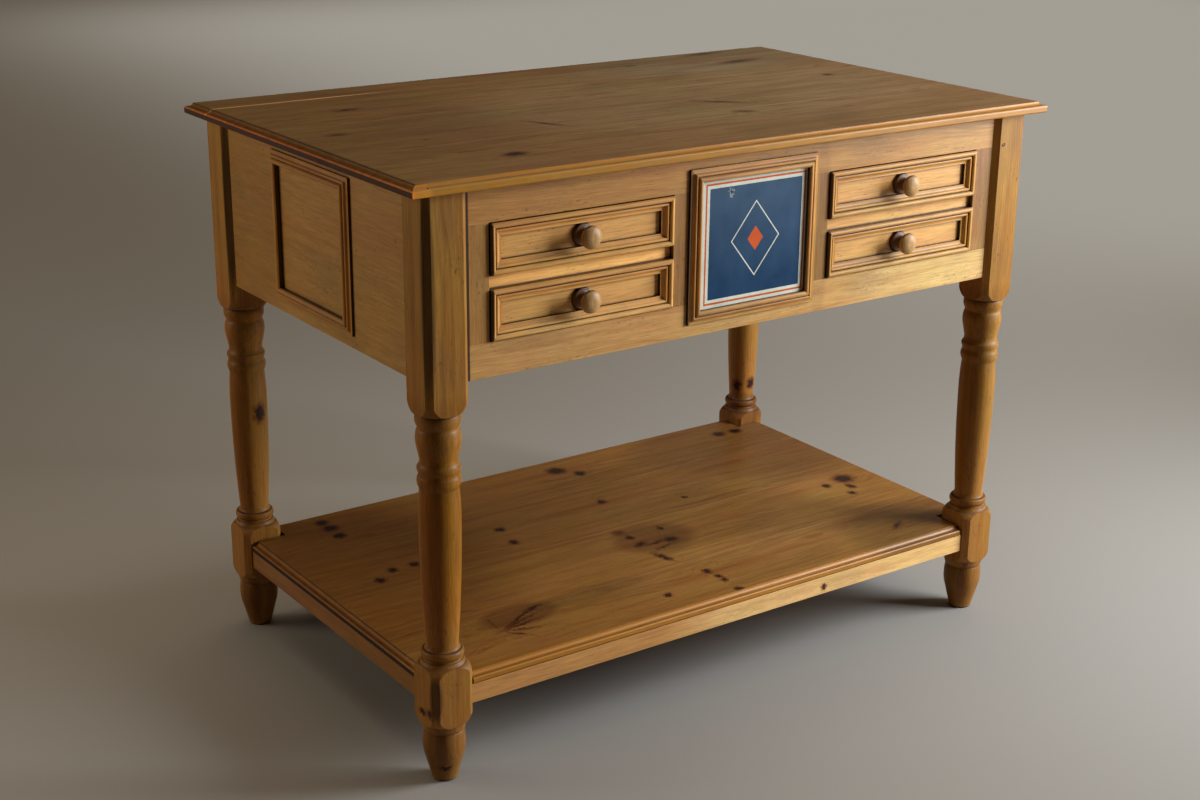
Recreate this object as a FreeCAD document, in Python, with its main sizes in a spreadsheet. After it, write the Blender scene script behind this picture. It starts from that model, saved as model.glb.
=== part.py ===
"""A kitchen work table in waxed pine: turned legs, two deep drawers with doubled fronts, a low shelf."""

import FreeCAD, Part
import os

import Sketcher

# Driving sizes in millimetres; X runs along the front, the front faces -Y, Z is up from the floor.
SIZES = {
    # Overall
    "table_length": 1200,
    "table_depth": 742,
    "table_height": 914,
    # Top
    "top_thickness": 17.5,
    "top_moulding_width": 10.5,
    "top_lip_height": 12,
    "top_end_overhang": 26.5,
    "top_front_overhang": 17,
    "top_back_board_width": 82,
    # Legs
    "leg_width": 69,
    "leg_chamfer": 9,
    "leg_square_drop": 18.5,
    "leg_block_rise": 8,
    "leg_block_drop": 3,
    # Aprons
    "apron_height": 274,
    "apron_thickness": 22,
    "apron_setback": 9.2,
    "front_top_rail_height": 52.5,
    "front_bottom_rail_height": 50.5,
    "end_stile_width": 36.5,
    "centre_board_width": 300,
    "tenon_length": 24,
    "tenon_thickness": 9,
    "tenon_shoulder": 10,
    "tenon_gap": 0.2,
    # Applied mouldings
    "moulding_width": 20,
    "drawer_moulding_thickness": 13,
    "panel_moulding_thickness": 10,
    "centre_frame_width": 246,
    "centre_frame_height": 236,
    "side_frame_width": 251,
    "side_frame_height": 235,
    "plaque_thickness": 2,
    "plaque_gap": 0.2,
    # Drawers
    "drawer_gap": 1.2,
    "drawer_recess": 7.5,
    "drawer_front_thickness": 20,
    "drawer_back_space": 140,
    "drawer_side_thickness": 12,
    "drawer_side_drop": 3,
    "drawer_rebate_depth": 10,
    "drawer_bottom_thickness": 6,
    "drawer_groove_rise": 10,
    "drawer_groove_depth": 6,
    "drawer_groove_gap": 0.2,
    "drawer_strip_height": 20,
    # Knobs
    "knob_projection": 33,
    "knob_radius": 17,
    "knob_spigot_radius": 6,
    "knob_bore_gap": 0.2,
    # Drawer runners, guides, kickers and stops
    "runner_width": 24,
    "runner_height": 34,
    "guide_thickness": 18,
    "guide_height": 40,
    "guide_gap": 0.8,
    "stop_length": 20,
    "stop_height": 18,
    "stop_gap": 0.3,
    # Screws that hold the top
    "screw_radius": 2.5,
    "screw_head_radius": 4.5,
    "screw_head_height": 4,
    "screw_length": 36,
    "screw_bite": 11,
    "screw_gap": 0.2,
    "screw_inset": 90,
    # Shelf
    "shelf_height": 168,
    "shelf_thickness": 16.5,
    "shelf_moulding_width": 10.5,
    "shelf_lip_height": 9.5,
    "shelf_lip_overhang": 0.5,
    "shelf_setback": 10.5,
    "shelf_back_setback": 17.5,
    "shelf_rail_height": 30.5,
    "shelf_rail_thickness": 20,
    "shelf_notch_gap": 3.5,
    # Every cut runs past its piece by this much
    "overrun": 5,
}

# Turned outline between the square head and the block: radius as a share of half the leg's width, height
# as a share of the turning's length, from the top down. A pair is an arc's middle and end.
UPPER_TURNING_SHARES = [
    ((1.26, 1.0),),
    ((1.21, 0.967), (1.058, 0.9428)),
    ((0.928, 0.937),),
    ((0.968, 0.916), (0.899, 0.8971)),
    ((0.867, 0.889), (0.899, 0.8808)),
    ((0.957, 0.855), (0.928, 0.8294)),
    ((0.858, 0.8014), (0.8, 0.778)),
    ((0.809, 0.7663), (0.875, 0.7558)),
    ((0.91, 0.7523),),
    ((0.916, 0.743), (0.87, 0.7325)),
    ((0.861, 0.7255), (0.878, 0.7196)),
    ((0.928, 0.7033), (0.87, 0.6822)),
    ((0.838, 0.6752),),
    ((0.843, 0.6682),),
    ((0.89, 0.6098), (0.899, 0.5467)),
    ((0.838, 0.313), (0.705, 0.1168)),
    ((0.715, 0.1005), (0.775, 0.0911)),
    ((0.8, 0.0899),),
    ((0.905, 0.0829), (0.925, 0.0736)),
    ((0.912, 0.0661), (0.86, 0.0626)),
    ((0.832, 0.0568), (0.865, 0.0509)),
    ((0.895, 0.0493),),
    ((0.971, 0.0374),),
    ((1.174, 0.0199), (1.26, 0.0)),
]

# Turned outline under the block, down to the floor, in the same shares
LOWER_TURNING_SHARES = [
    ((1.26, 1.0),),
    ((1.197, 0.8814), (1.058, 0.8178)),
    ((0.971, 0.8051),),
    ((0.959, 0.7627), (0.925, 0.7246)),
    ((0.885, 0.7119),),
    ((0.868, 0.6992), (0.89, 0.6822)),
    ((0.938, 0.5593), (0.896, 0.3898)),
    ((0.574, 0.0339),),
    ((0.545, 0.0085), (0.501, 0.0)),
]

# Moulding section from its thick edge: shares of its width and of its thickness
MOULDING_SHARES = [
    ((0.0, 0.7),),
    ((0.2, 1.0), (0.4, 0.7)),
    ((0.43, 0.6),),
    ((0.55, 0.76), (0.68, 0.58)),
    ((0.71, 0.44),),
    ((0.84, 0.36), (1.0, 0.38)),
]

# Reach of the turning's waste from the axis, as a share of half the leg's width, clear of the corners
TURNING_REACH_SHARE = 1.6

# Edge of the top and of the shelf: the cove in shares of the moulding's width from the rim inwards and of
# the drop from the upper face to the lip, and the lip's nose in shares of that width and the lip's height
EDGE_COVE_SHARES = [((1.0, 0.25),), ((0.72, 0.85), (0.36, 1.0))]
EDGE_NOSE_SHARES = [((0.07, 0.1), (0.0, 0.3)), ((0.0, 0.7),), ((0.09, 0.93), (0.36, 1.0))]

# Knob's outline: shares of its radius and of its projection from the drawer's face
KNOB_SHARES = [
    ((0.93, 0.0),),
    ((0.97, 0.045), (0.96, 0.1)),
    ((0.93, 0.155), (0.82, 0.185)),
    ((0.5, 0.33), (0.64, 0.53)),
    ((0.82, 0.6), (0.96, 0.68)),
    ((1.0, 0.755), (0.95, 0.83)),
    ((0.6, 0.955), (0.12, 1.0)),
    ((0.0, 1.0),),
]

# Places across the depth where two boards of the top or of the shelf meet, as shares of the boards' span
TOP_JOINT_SHARES = [0.335, 0.667]
SHELF_JOINT_SHARES = [0.217, 0.486, 0.758]


class Size:
    """A length from the sheet, or one worked out from others, as a number and as an expression."""

    def __init__(self, number, text):
        self.number = number
        self.text = text

    @staticmethod
    def of(value):
        return value if isinstance(value, Size) else Size(value, repr(value))

    def __add__(self, other):
        other = Size.of(other)
        return Size(self.number + other.number, f"({self.text} + {other.text})")

    def __sub__(self, other):
        other = Size.of(other)
        return Size(self.number - other.number, f"({self.text} - {other.text})")

    def __mul__(self, other):
        other = Size.of(other)
        return Size(self.number * other.number, f"({self.text} * {other.text})")

    def __truediv__(self, other):
        other = Size.of(other)
        return Size(self.number / other.number, f"({self.text} / {other.text})")

    def __neg__(self):
        return Size(-self.number, f"(-1 * {self.text})")


ZERO = Size(0, "0")

doc = FreeCAD.newDocument("WorkTable")


class Dimensions:
    """The spreadsheet, with one attribute for each named size."""

    def __init__(self, sizes):
        sheet = doc.addObject("Spreadsheet::Sheet", "Dimensions")
        for row, (name, value) in enumerate(sizes.items(), start=1):
            sheet.set(f"A{row}", name)
            sheet.set(f"B{row}", str(value))
            sheet.setAlias(f"B{row}", name)
            setattr(self, name, Size(value, f"Dimensions.{name}"))


d = Dimensions(SIZES)
doc.recompute()
parts = []


def bind(thing, prop, size):
    """Ties a property to the sheet."""
    thing.setExpression(prop, Size.of(size).text)


def place(thing, x, y, z):
    """Puts an object at a point worked out from the sheet."""
    for axis, size in zip("xyz", (x, y, z)):
        bind(thing, f"Placement.Base.{axis}", size)


def sub_part(thing, name):
    """Names a finished sub-part; its label is its file's name."""
    thing.Label = name
    parts.append(thing)
    return thing


def block(name, x, y, z):
    """A straight-sided piece between a lower and an upper value along each axis."""
    box = doc.addObject("Part::Box", name)
    for prop, span in (("Length", x), ("Width", y), ("Height", z)):
        bind(box, prop, span[1] - span[0])
    place(box, x[0], y[0], z[0])
    return box


def rod(name, radius, x, y, z):
    """An upright cylinder between two heights."""
    cylinder = doc.addObject("Part::Cylinder", name)
    bind(cylinder, "Radius", radius)
    bind(cylinder, "Height", z[1] - z[0])
    place(cylinder, x, y, z[0])
    return cylinder


def joined(name, kind, shapes):
    """A union or a loose group of shapes."""
    whole = doc.addObject(kind, name)
    if kind == "Part::Compound":
        whole.Links = shapes
    else:
        whole.Shapes = shapes
        whole.Refine = True
    return whole


def union(name, shapes):
    return joined(name, "Part::MultiFuse", shapes)


def group(name, shapes):
    return joined(name, "Part::Compound", shapes)


def cut(name, base, tools):
    """The base without the tools."""
    rest = doc.addObject("Part::Cut", name)
    rest.Base = base
    rest.Tool = tools[0] if len(tools) == 1 else union(f"{name}_tools", tools)
    return rest


def slice_of(name, base, region):
    """The part of the base that lies in the region."""
    share = doc.addObject("Part::Common", name)
    share.Base = base
    share.Tool = region
    return share


def flipped(name, source, normal):
    """A mirror image about a plane through the origin."""
    image = doc.addObject("Part::Mirroring", name)
    image.Source = source
    image.Normal = normal
    return image


def span(sign, near, far):
    """A span from near to far on the side of the axis that the sign gives."""
    return (near, far) if sign > 0 else (-far, -near)


def signed(sign, size):
    return size if sign > 0 else -size


def sketch_on(body, name, role):
    """An empty sketch on one of the body's own planes."""
    plane = [f for f in body.Origin.OriginFeatures if f.Role == role][0]
    sketch = body.newObject("Sketcher::SketchObject", name)
    sketch.AttachmentSupport = (plane, [""])
    sketch.MapMode = "FlatFace"
    return sketch


def draw(sketch, steps):
    """A closed outline: each step is a point that a line runs to, or an arc's middle and its end."""

    def vector(point):
        return FreeCAD.Vector(point[0].number, point[1].number, 0)

    bound = []
    rules = []

    def fix(index, end, point):
        for kind, size in zip(("DistanceX", "DistanceY"), point):
            bound.append((sketch.ConstraintCount + len(rules), size))
            rules.append(Sketcher.Constraint(kind, -1, 1, index, end, size.number))

    here = steps[0][-1]
    edges = []
    for step in steps[1:] + [steps[0][-1:]]:
        there = step[-1]
        if len(step) == 2:
            curve = Part.Arc(vector(here), vector(step[0]), vector(there))
        else:
            curve = Part.LineSegment(vector(here), vector(there))
        index = sketch.addGeometry(curve, False)
        forward = sketch.getPoint(index, 1).distanceToPoint(vector(here)) < sketch.getPoint(
            index, 2
        ).distanceToPoint(vector(here))
        start, end = (1, 2) if forward else (2, 1)
        fix(index, start, here)
        if len(step) == 2:
            middle = sketch.addGeometry(Part.Point(vector(step[0])), True)
            fix(middle, 1, step[0])
            rules.append(Sketcher.Constraint("PointOnObject", middle, 1, index))
        edges.append((index, start, end))
        here = there
    for (first, _, first_end), (second, second_start, _) in zip(edges, edges[1:] + edges[:1]):
        rules.append(Sketcher.Constraint("Coincident", first, first_end, second, second_start))
    sketch.addConstraint(rules)
    for number, size in bound:
        sketch.setExpression(f"Constraints[{number}]", size.text)


def scaled(shares, across, along):
    """Turns an outline of shares into sizes, with one function for each axis."""
    return [tuple((across(u), along(v)) for u, v in step) for step in shares]


def feature(body, kind, name, sketch):
    """A PartDesign feature made from a sketch."""
    made = body.newObject(kind, name)
    made.Profile = sketch
    return made


def pad(body, name, sketch, length):
    made = feature(body, "PartDesign::Pad", name, sketch)
    bind(made, "Length", length)
    return made


def pocket_through(body, name, sketch):
    """Cuts a sketch's outline through the whole piece, both ways from its plane."""
    made = feature(body, "PartDesign::Pocket", name, sketch)
    made.Type = 1
    made.Midplane = True
    return made


# Levels and faces that several pieces share
half_length = d.table_length / 2
half_depth = d.table_depth / 2
under_top = d.table_height - d.top_thickness
leg_outer_x = half_length - d.top_end_overhang
leg_outer_y = half_depth - d.top_front_overhang
leg_inner_x = leg_outer_x - d.leg_width
leg_inner_y = leg_outer_y - d.leg_width
leg_x = leg_outer_x - d.leg_width / 2
leg_y = leg_outer_y - d.leg_width / 2
apron_face_x = leg_outer_x - d.apron_setback
apron_face_y = leg_outer_y - d.apron_setback
apron_back_x = apron_face_x - d.apron_thickness
apron_back_y = apron_face_y - d.apron_thickness
apron_bottom = under_top - d.apron_height
opening_bottom = apron_bottom + d.front_bottom_rail_height
opening_top = under_top - d.front_top_rail_height
opening_inner_x = d.centre_board_width / 2
opening_outer_x = leg_inner_x - d.end_stile_width
shelf_under = d.shelf_height - d.shelf_thickness
shelf_rail_bottom = shelf_under - d.shelf_rail_height
shelf_rail_setbacks = {
    "front": d.shelf_setback + d.shelf_lip_overhang,
    "back": d.shelf_back_setback + d.shelf_lip_overhang,
    "side": d.shelf_setback + d.shelf_lip_overhang,
}
SIDES = {"left": -1, "right": 1}
ENDS = {"front": -1, "back": 1}


def tenon_span(face, thickness, sign):
    """Where a tenon lies across a rail, in the middle of its thickness, on the side the sign gives."""
    middle = face - thickness / 2
    return span(sign, middle - d.tenon_thickness / 2, middle + d.tenon_thickness / 2)


def wider(pair, gap):
    return (pair[0] - gap, pair[1] + gap)


# Tenons of the long rails and of the end rails: heights and where they lie across the leg
apron_tenon_z = (apron_bottom + d.tenon_shoulder, under_top - d.tenon_shoulder)
top_rail_tenon_z = (opening_top + d.tenon_shoulder, under_top - d.tenon_shoulder)
bottom_rail_tenon_z = (apron_bottom + d.tenon_shoulder, opening_bottom - d.tenon_shoulder)
shelf_tenon_shoulder = d.tenon_shoulder / 2
shelf_tenon_z = (shelf_rail_bottom + shelf_tenon_shoulder, shelf_under - shelf_tenon_shoulder)


def long_tenons(name, face, thickness, end, z):
    """Both tenons of a rail that runs along X."""
    across = tenon_span(face, thickness, end)
    return [
        block(f"{name}_tenon_{side}", span(sign, leg_inner_x, leg_inner_x + d.tenon_length), across, z)
        for side, sign in SIDES.items()
    ]


def end_tenons(name, face, thickness, side, z):
    """Both tenons of a rail that runs along Y."""
    across = tenon_span(face, thickness, side)
    return [
        block(f"{name}_tenon_{end}", across, span(sign, leg_inner_y, leg_inner_y + d.tenon_length), z)
        for end, sign in ENDS.items()
    ]


def turned_leg():
    """One leg at the origin: a chamfered square post, then the two turnings cut into it."""
    body = doc.addObject("PartDesign::Body", "turned_leg")
    half = d.leg_width / 2
    flat = half - d.leg_chamfer
    corners = [(half, flat), (flat, half), (-flat, half), (-half, flat)]
    corners += [(-x, -y) for x, y in corners]
    post = sketch_on(body, "post_section", "XY_Plane")
    draw(post, [(corner,) for corner in corners])
    pad(body, "post", post, under_top)

    reach = half * TURNING_REACH_SHARE
    block_top = d.shelf_height + d.leg_block_rise
    block_bottom = shelf_rail_bottom - d.leg_block_drop
    head = apron_bottom - d.leg_square_drop
    upper = scaled(UPPER_TURNING_SHARES, lambda u: half * u, lambda v: block_top + (head - block_top) * v)
    lower = scaled(LOWER_TURNING_SHARES, lambda u: half * u, lambda v: block_bottom * v)
    toe = lower[-1][-1][0]
    waste = sketch_on(body, "turning_waste", "XZ_Plane")
    draw(waste, [((reach, head),)] + upper + [((reach, block_top),)])
    draw(waste, [((reach, block_bottom),)] + lower + [((toe, -d.overrun),), ((reach, -d.overrun),)])
    turning = feature(body, "PartDesign::Groove", "turning", waste)
    turning.ReferenceAxis = (waste, ["V_Axis"])
    turning.Angle = 360
    return body


def leg(name, side, end, turned):
    """The turned leg with its mortises, which face the middle of the table, moved to its corner."""
    half = d.leg_width / 2
    inward = d.tenon_length + d.tenon_gap

    def mortise(tag, along_x, face, thickness, z):
        middle = half - face - thickness / 2
        sign = end if along_x else side
        across = span(sign, middle - d.tenon_thickness / 2, middle + d.tenon_thickness / 2)
        across = wider(across, d.tenon_gap)
        depth = span(-(side if along_x else end), half - inward, half + d.overrun)
        x, y = (depth, across) if along_x else (across, depth)
        return block(f"{name}_mortise_{tag}", x, y, wider(z, d.tenon_gap))

    if end < 0:
        heights = {"top_rail": top_rail_tenon_z, "bottom_rail": bottom_rail_tenon_z}
    else:
        heights = {"apron": apron_tenon_z}
    setback, thick = d.apron_setback, d.apron_thickness
    tools = [mortise(tag, True, setback, thick, z) for tag, z in heights.items()]
    tools.append(mortise("side_apron", False, setback, thick, apron_tenon_z))
    setback, thick = shelf_rail_setbacks["front" if end < 0 else "back"], d.shelf_rail_thickness
    tools.append(mortise("shelf_long", True, setback, thick, shelf_tenon_z))
    tools.append(mortise("shelf_end", False, shelf_rail_setbacks["side"], thick, shelf_tenon_z))
    made = cut(f"{name}_cut", turned, tools)
    place(made, signed(side, leg_x), signed(end, leg_y), ZERO)
    return sub_part(made, name)


def moulded_slab(name, half_x, y, top_z, thickness, moulding_width, lip_height):
    """A slab between two places across the depth, with a cove and a rounded lip along all four edges."""
    body = doc.addObject("PartDesign::Body", name)
    outline = sketch_on(body, f"{name}_plan", "XY_Plane")
    draw(outline, [((half_x, y[1]),), ((-half_x, y[1]),), ((-half_x, y[0]),), ((half_x, y[0]),)])
    pad(body, f"{name}_board", outline, thickness)
    cove = thickness - lip_height

    def waste(edge, sign):
        rim = [((edge - moulding_width, thickness + d.overrun),), ((edge - moulding_width, thickness),)]
        rim += scaled(EDGE_COVE_SHARES, lambda u: edge - moulding_width * u, lambda v: thickness - cove * v)
        rim += scaled(EDGE_NOSE_SHARES, lambda u: edge - moulding_width * u, lambda v: lip_height * (1 - v))
        nose_foot = rim[-1][-1][0]
        rim += [((nose_foot, -d.overrun),), ((edge + d.overrun, -d.overrun),)]
        rim += [((edge + d.overrun, thickness + d.overrun),)]
        if sign > 0:
            return rim
        return [tuple((-u, v) for u, v in step) for step in rim]

    for role, low, high in (("XZ_Plane", half_x, half_x), ("YZ_Plane", -y[0], y[1])):
        sketch = sketch_on(body, f"{name}_edge_{role[:2]}", role)
        draw(sketch, waste(high, 1))
        draw(sketch, waste(low, -1))
        pocket_through(body, f"{name}_moulding_{role[:2]}", sketch)
    place(body, ZERO, ZERO, top_z - thickness)
    return body


def boards(prefix, slab, half_x, y, z, joints):
    """The slab as separate boards that meet at the given places across the depth."""
    edges = [y[0] - d.overrun] + joints + [y[1] + d.overrun]
    reach = half_x + d.overrun
    for number, (low, high) in enumerate(zip(edges, edges[1:]), start=1):
        name = f"{prefix}_{number}"
        region = block(f"{name}_region", (-reach, reach), (low, high), wider(z, d.overrun))
        sub_part(slice_of(f"{name}_slice", slab, region), name)


def moulding_strip(name, thick_inside, along_x, width, height, thickness):
    """One mitred strip of a frame centred on the origin, its back on the plane y = 0."""
    body = doc.addObject("PartDesign::Body", name)
    face = sketch_on(body, f"{name}_plan", "XZ_Plane")
    long_half, far = (width / 2, height / 2) if along_x else (height / 2, width / 2)
    near_long, near = long_half - d.moulding_width, far - d.moulding_width
    plan = [(-long_half, far), (long_half, far), (near_long, near), (-near_long, near)]
    if not along_x:
        plan = [(-v, u) for u, v in plan]
    draw(face, [(point,) for point in plan])
    pad(body, f"{name}_length", face, thickness)

    section = sketch_on(body, f"{name}_section", "YZ_Plane" if along_x else "XY_Plane")
    inward = scaled(MOULDING_SHARES, lambda u: d.moulding_width * u, lambda v: -thickness * v)
    if thick_inside:
        across = [tuple((near + u, v) for u, v in step) for step in inward]
        start, stop = near - d.overrun, far + d.overrun
    else:
        across = [tuple((far - u, v) for u, v in step) for step in inward]
        start, stop = far + d.overrun, near - d.overrun
    lift = -thickness - d.overrun
    waste = [((start, lift),), ((start, across[0][0][1]),)] + across
    waste += [((stop, across[-1][-1][1]),), ((stop, lift),)]
    if along_x:
        waste = [tuple((v, u) for u, v in step) for step in waste]
    else:
        waste = [tuple((-u, v) for u, v in step) for step in waste]
    draw(section, waste)
    pocket_through(body, f"{name}_profile", section)
    return body


def moulding_frame(name, thick_inside, width, height, thickness):
    """Four mitred strips round a rectangle centred on the origin."""
    top = moulding_strip(f"{name}_top", thick_inside, True, width, height, thickness)
    left = moulding_strip(f"{name}_left", thick_inside, False, width, height, thickness)
    bottom = flipped(f"{name}_bottom", top, FreeCAD.Vector(0, 0, 1))
    right = flipped(f"{name}_right", left, FreeCAD.Vector(1, 0, 0))
    return [top, bottom, left, right]


def place_frame(name, strips, x, y, z, turn=0):
    """A copy of a moulding frame on its board, turned about the upright axis."""
    frame = group(f"{name}_strips", strips)
    frame.Placement = FreeCAD.Placement(
        FreeCAD.Vector(0, 0, 0), FreeCAD.Rotation(FreeCAD.Vector(0, 0, 1), turn)
    )
    place(frame, x, y, z)
    return sub_part(frame, name)


# Top: four boards glued edge to edge, moulded all round after gluing
top_y = (-half_depth, half_depth)
top_slab = moulded_slab(
    "top_slab", half_length, top_y, d.table_height, d.top_thickness, d.top_moulding_width, d.top_lip_height
)

# Screws run up through the kickers into the top
screws = []
screw_bores = []
screw_head_z = under_top + d.screw_bite - d.screw_length
for side, sign in SIDES.items():
    for edge in ("inner", "outer"):
        half_width = d.runner_width / 2
        middle = opening_inner_x + half_width if edge == "inner" else opening_outer_x - half_width
        for end, direction in ENDS.items():
            tag = f"{side}_{edge}_{end}"
            x, y = signed(sign, middle), signed(direction, apron_back_y - d.screw_inset)
            shank_z = (screw_head_z, under_top + d.screw_bite)
            head_z = (screw_head_z - d.screw_head_height, screw_head_z)
            shank = rod(f"screw_shank_{tag}", d.screw_radius, x, y, shank_z)
            head = rod(f"screw_head_{tag}", d.screw_head_radius, x, y, head_z)
            screws.append(union(f"screw_{tag}", [shank, head]))
            bore_z = (opening_top - d.overrun, under_top + d.screw_bite + d.screw_gap)
            screw_bores.append(rod(f"screw_bore_{tag}", d.screw_radius + d.screw_gap, x, y, bore_z))
            well_z = (opening_top - d.overrun, screw_head_z)
            screw_bores.append(rod(f"screw_well_{tag}", d.screw_head_radius + d.screw_gap, x, y, well_z))
sub_part(group("top_screw_group", screws), "top_screws")
screw_space = union("screw_space", screw_bores)

bored_top = cut("bored_top", top_slab, [screw_space])
back_joint = half_depth - d.top_back_board_width
top_span = back_joint + half_depth
top_joints = [top_span * share - half_depth for share in TOP_JOINT_SHARES] + [back_joint]
boards("top_board", bored_top, half_length, top_y, (under_top, d.table_height), top_joints)

# Legs
turned = turned_leg()
for end, direction in ENDS.items():
    for side, sign in SIDES.items():
        leg(f"leg_{end}_{side}", sign, direction, turned)

# Front: two rails, an end stile beside each leg and a wide board in the middle
front = (-apron_face_y, -apron_back_y)
rails = {
    "front_top_rail": ((opening_top, under_top), top_rail_tenon_z),
    "front_bottom_rail": ((apron_bottom, opening_bottom), bottom_rail_tenon_z),
}
for name, (z, tenon_z) in rails.items():
    plain = block(f"{name}_board", (-leg_inner_x, leg_inner_x), front, z)
    tenons = long_tenons(name, apron_face_y, d.apron_thickness, -1, tenon_z)
    sub_part(union(f"{name}_whole", [plain] + tenons), name)
opening_z = (opening_bottom, opening_top)
for side, sign in SIDES.items():
    stile = block(f"stile_{side}", span(sign, opening_outer_x, leg_inner_x), front, opening_z)
    sub_part(stile, f"front_end_stile_{side}")
centre = block("centre_board", (-opening_inner_x, opening_inner_x), front, opening_z)
sub_part(centre, "front_centre_board")

# Back and side aprons
apron_z = (apron_bottom, under_top)
back_plain = block("back_board", (-leg_inner_x, leg_inner_x), (apron_back_y, apron_face_y), apron_z)
back_tenons = long_tenons("back_apron", apron_face_y, d.apron_thickness, 1, apron_tenon_z)
sub_part(union("back_apron_whole", [back_plain] + back_tenons), "back_apron")
for side, sign in SIDES.items():
    across = span(sign, apron_back_x, apron_face_x)
    plain = block(f"side_board_{side}", across, (-leg_inner_y, leg_inner_y), apron_z)
    tenons = end_tenons(f"side_apron_{side}", apron_face_x, d.apron_thickness, sign, apron_tenon_z)
    sub_part(union(f"side_apron_{side}_whole", [plain] + tenons), f"side_apron_{side}")

# Applied frames: one round the plaque in the middle of the front and one on each side apron
apron_middle = apron_bottom + d.apron_height / 2
centre_strips = moulding_frame(
    "centre_strip", True, d.centre_frame_width, d.centre_frame_height, d.panel_moulding_thickness
)
place_frame("centre_moulding", centre_strips, ZERO, -apron_face_y, apron_middle)
side_strips = moulding_frame(
    "side_strip", True, d.side_frame_width, d.side_frame_height, d.panel_moulding_thickness
)
place_frame("side_moulding_left", side_strips, -apron_face_x, ZERO, apron_middle, -90)
place_frame("side_moulding_right", side_strips, apron_face_x, ZERO, apron_middle, 90)
plaque_half_width = d.centre_frame_width / 2 - d.moulding_width - d.plaque_gap
plaque_half_height = d.centre_frame_height / 2 - d.moulding_width - d.plaque_gap
plaque = block(
    "plaque",
    (-plaque_half_width, plaque_half_width),
    (-apron_face_y - d.plaque_thickness, -apron_face_y),
    (apron_middle - plaque_half_height, apron_middle + plaque_half_height),
)
sub_part(plaque, "centre_plaque")

# Drawers: the front stands back from the apron's face, and its lower edge and the sides ride at one height
drawer_bottom_z = opening_bottom + d.drawer_gap
drawer_top_z = opening_top - d.drawer_gap
drawer_face_y = d.drawer_recess - apron_face_y
drawer_front_back_y = drawer_face_y + d.drawer_front_thickness
drawer_back_y = apron_back_y - d.drawer_back_space
drawer_side_top_z = drawer_top_z - d.drawer_side_drop
drawer_frame_width = opening_outer_x - opening_inner_x - d.drawer_gap * 2
drawer_frame_height = (drawer_top_z - drawer_bottom_z - d.drawer_strip_height) / 2
drawer_middle_x = (opening_outer_x + opening_inner_x) / 2
frame_middle_z = {
    "upper": drawer_top_z - drawer_frame_height / 2,
    "lower": drawer_bottom_z + drawer_frame_height / 2,
}
drawer_strips = moulding_frame(
    "drawer_strip", False, drawer_frame_width, drawer_frame_height, d.drawer_moulding_thickness
)


def turned_knob():
    """One knob at the origin, pointing to -Y, with the spigot that is glued into the drawer's front."""
    body = doc.addObject("PartDesign::Body", "turned_knob")
    half = sketch_on(body, "knob_half", "XY_Plane")
    outline = scaled(KNOB_SHARES, lambda u: d.knob_radius * u, lambda v: -d.knob_projection * v)
    spigot = [((ZERO, d.drawer_front_thickness),), ((d.knob_spigot_radius, d.drawer_front_thickness),)]
    draw(half, spigot + [((d.knob_spigot_radius, ZERO),)] + outline)
    turning = feature(body, "PartDesign::Revolution", "knob_turning", half)
    turning.ReferenceAxis = (half, ["V_Axis"])
    turning.Angle = 360
    return body


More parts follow.
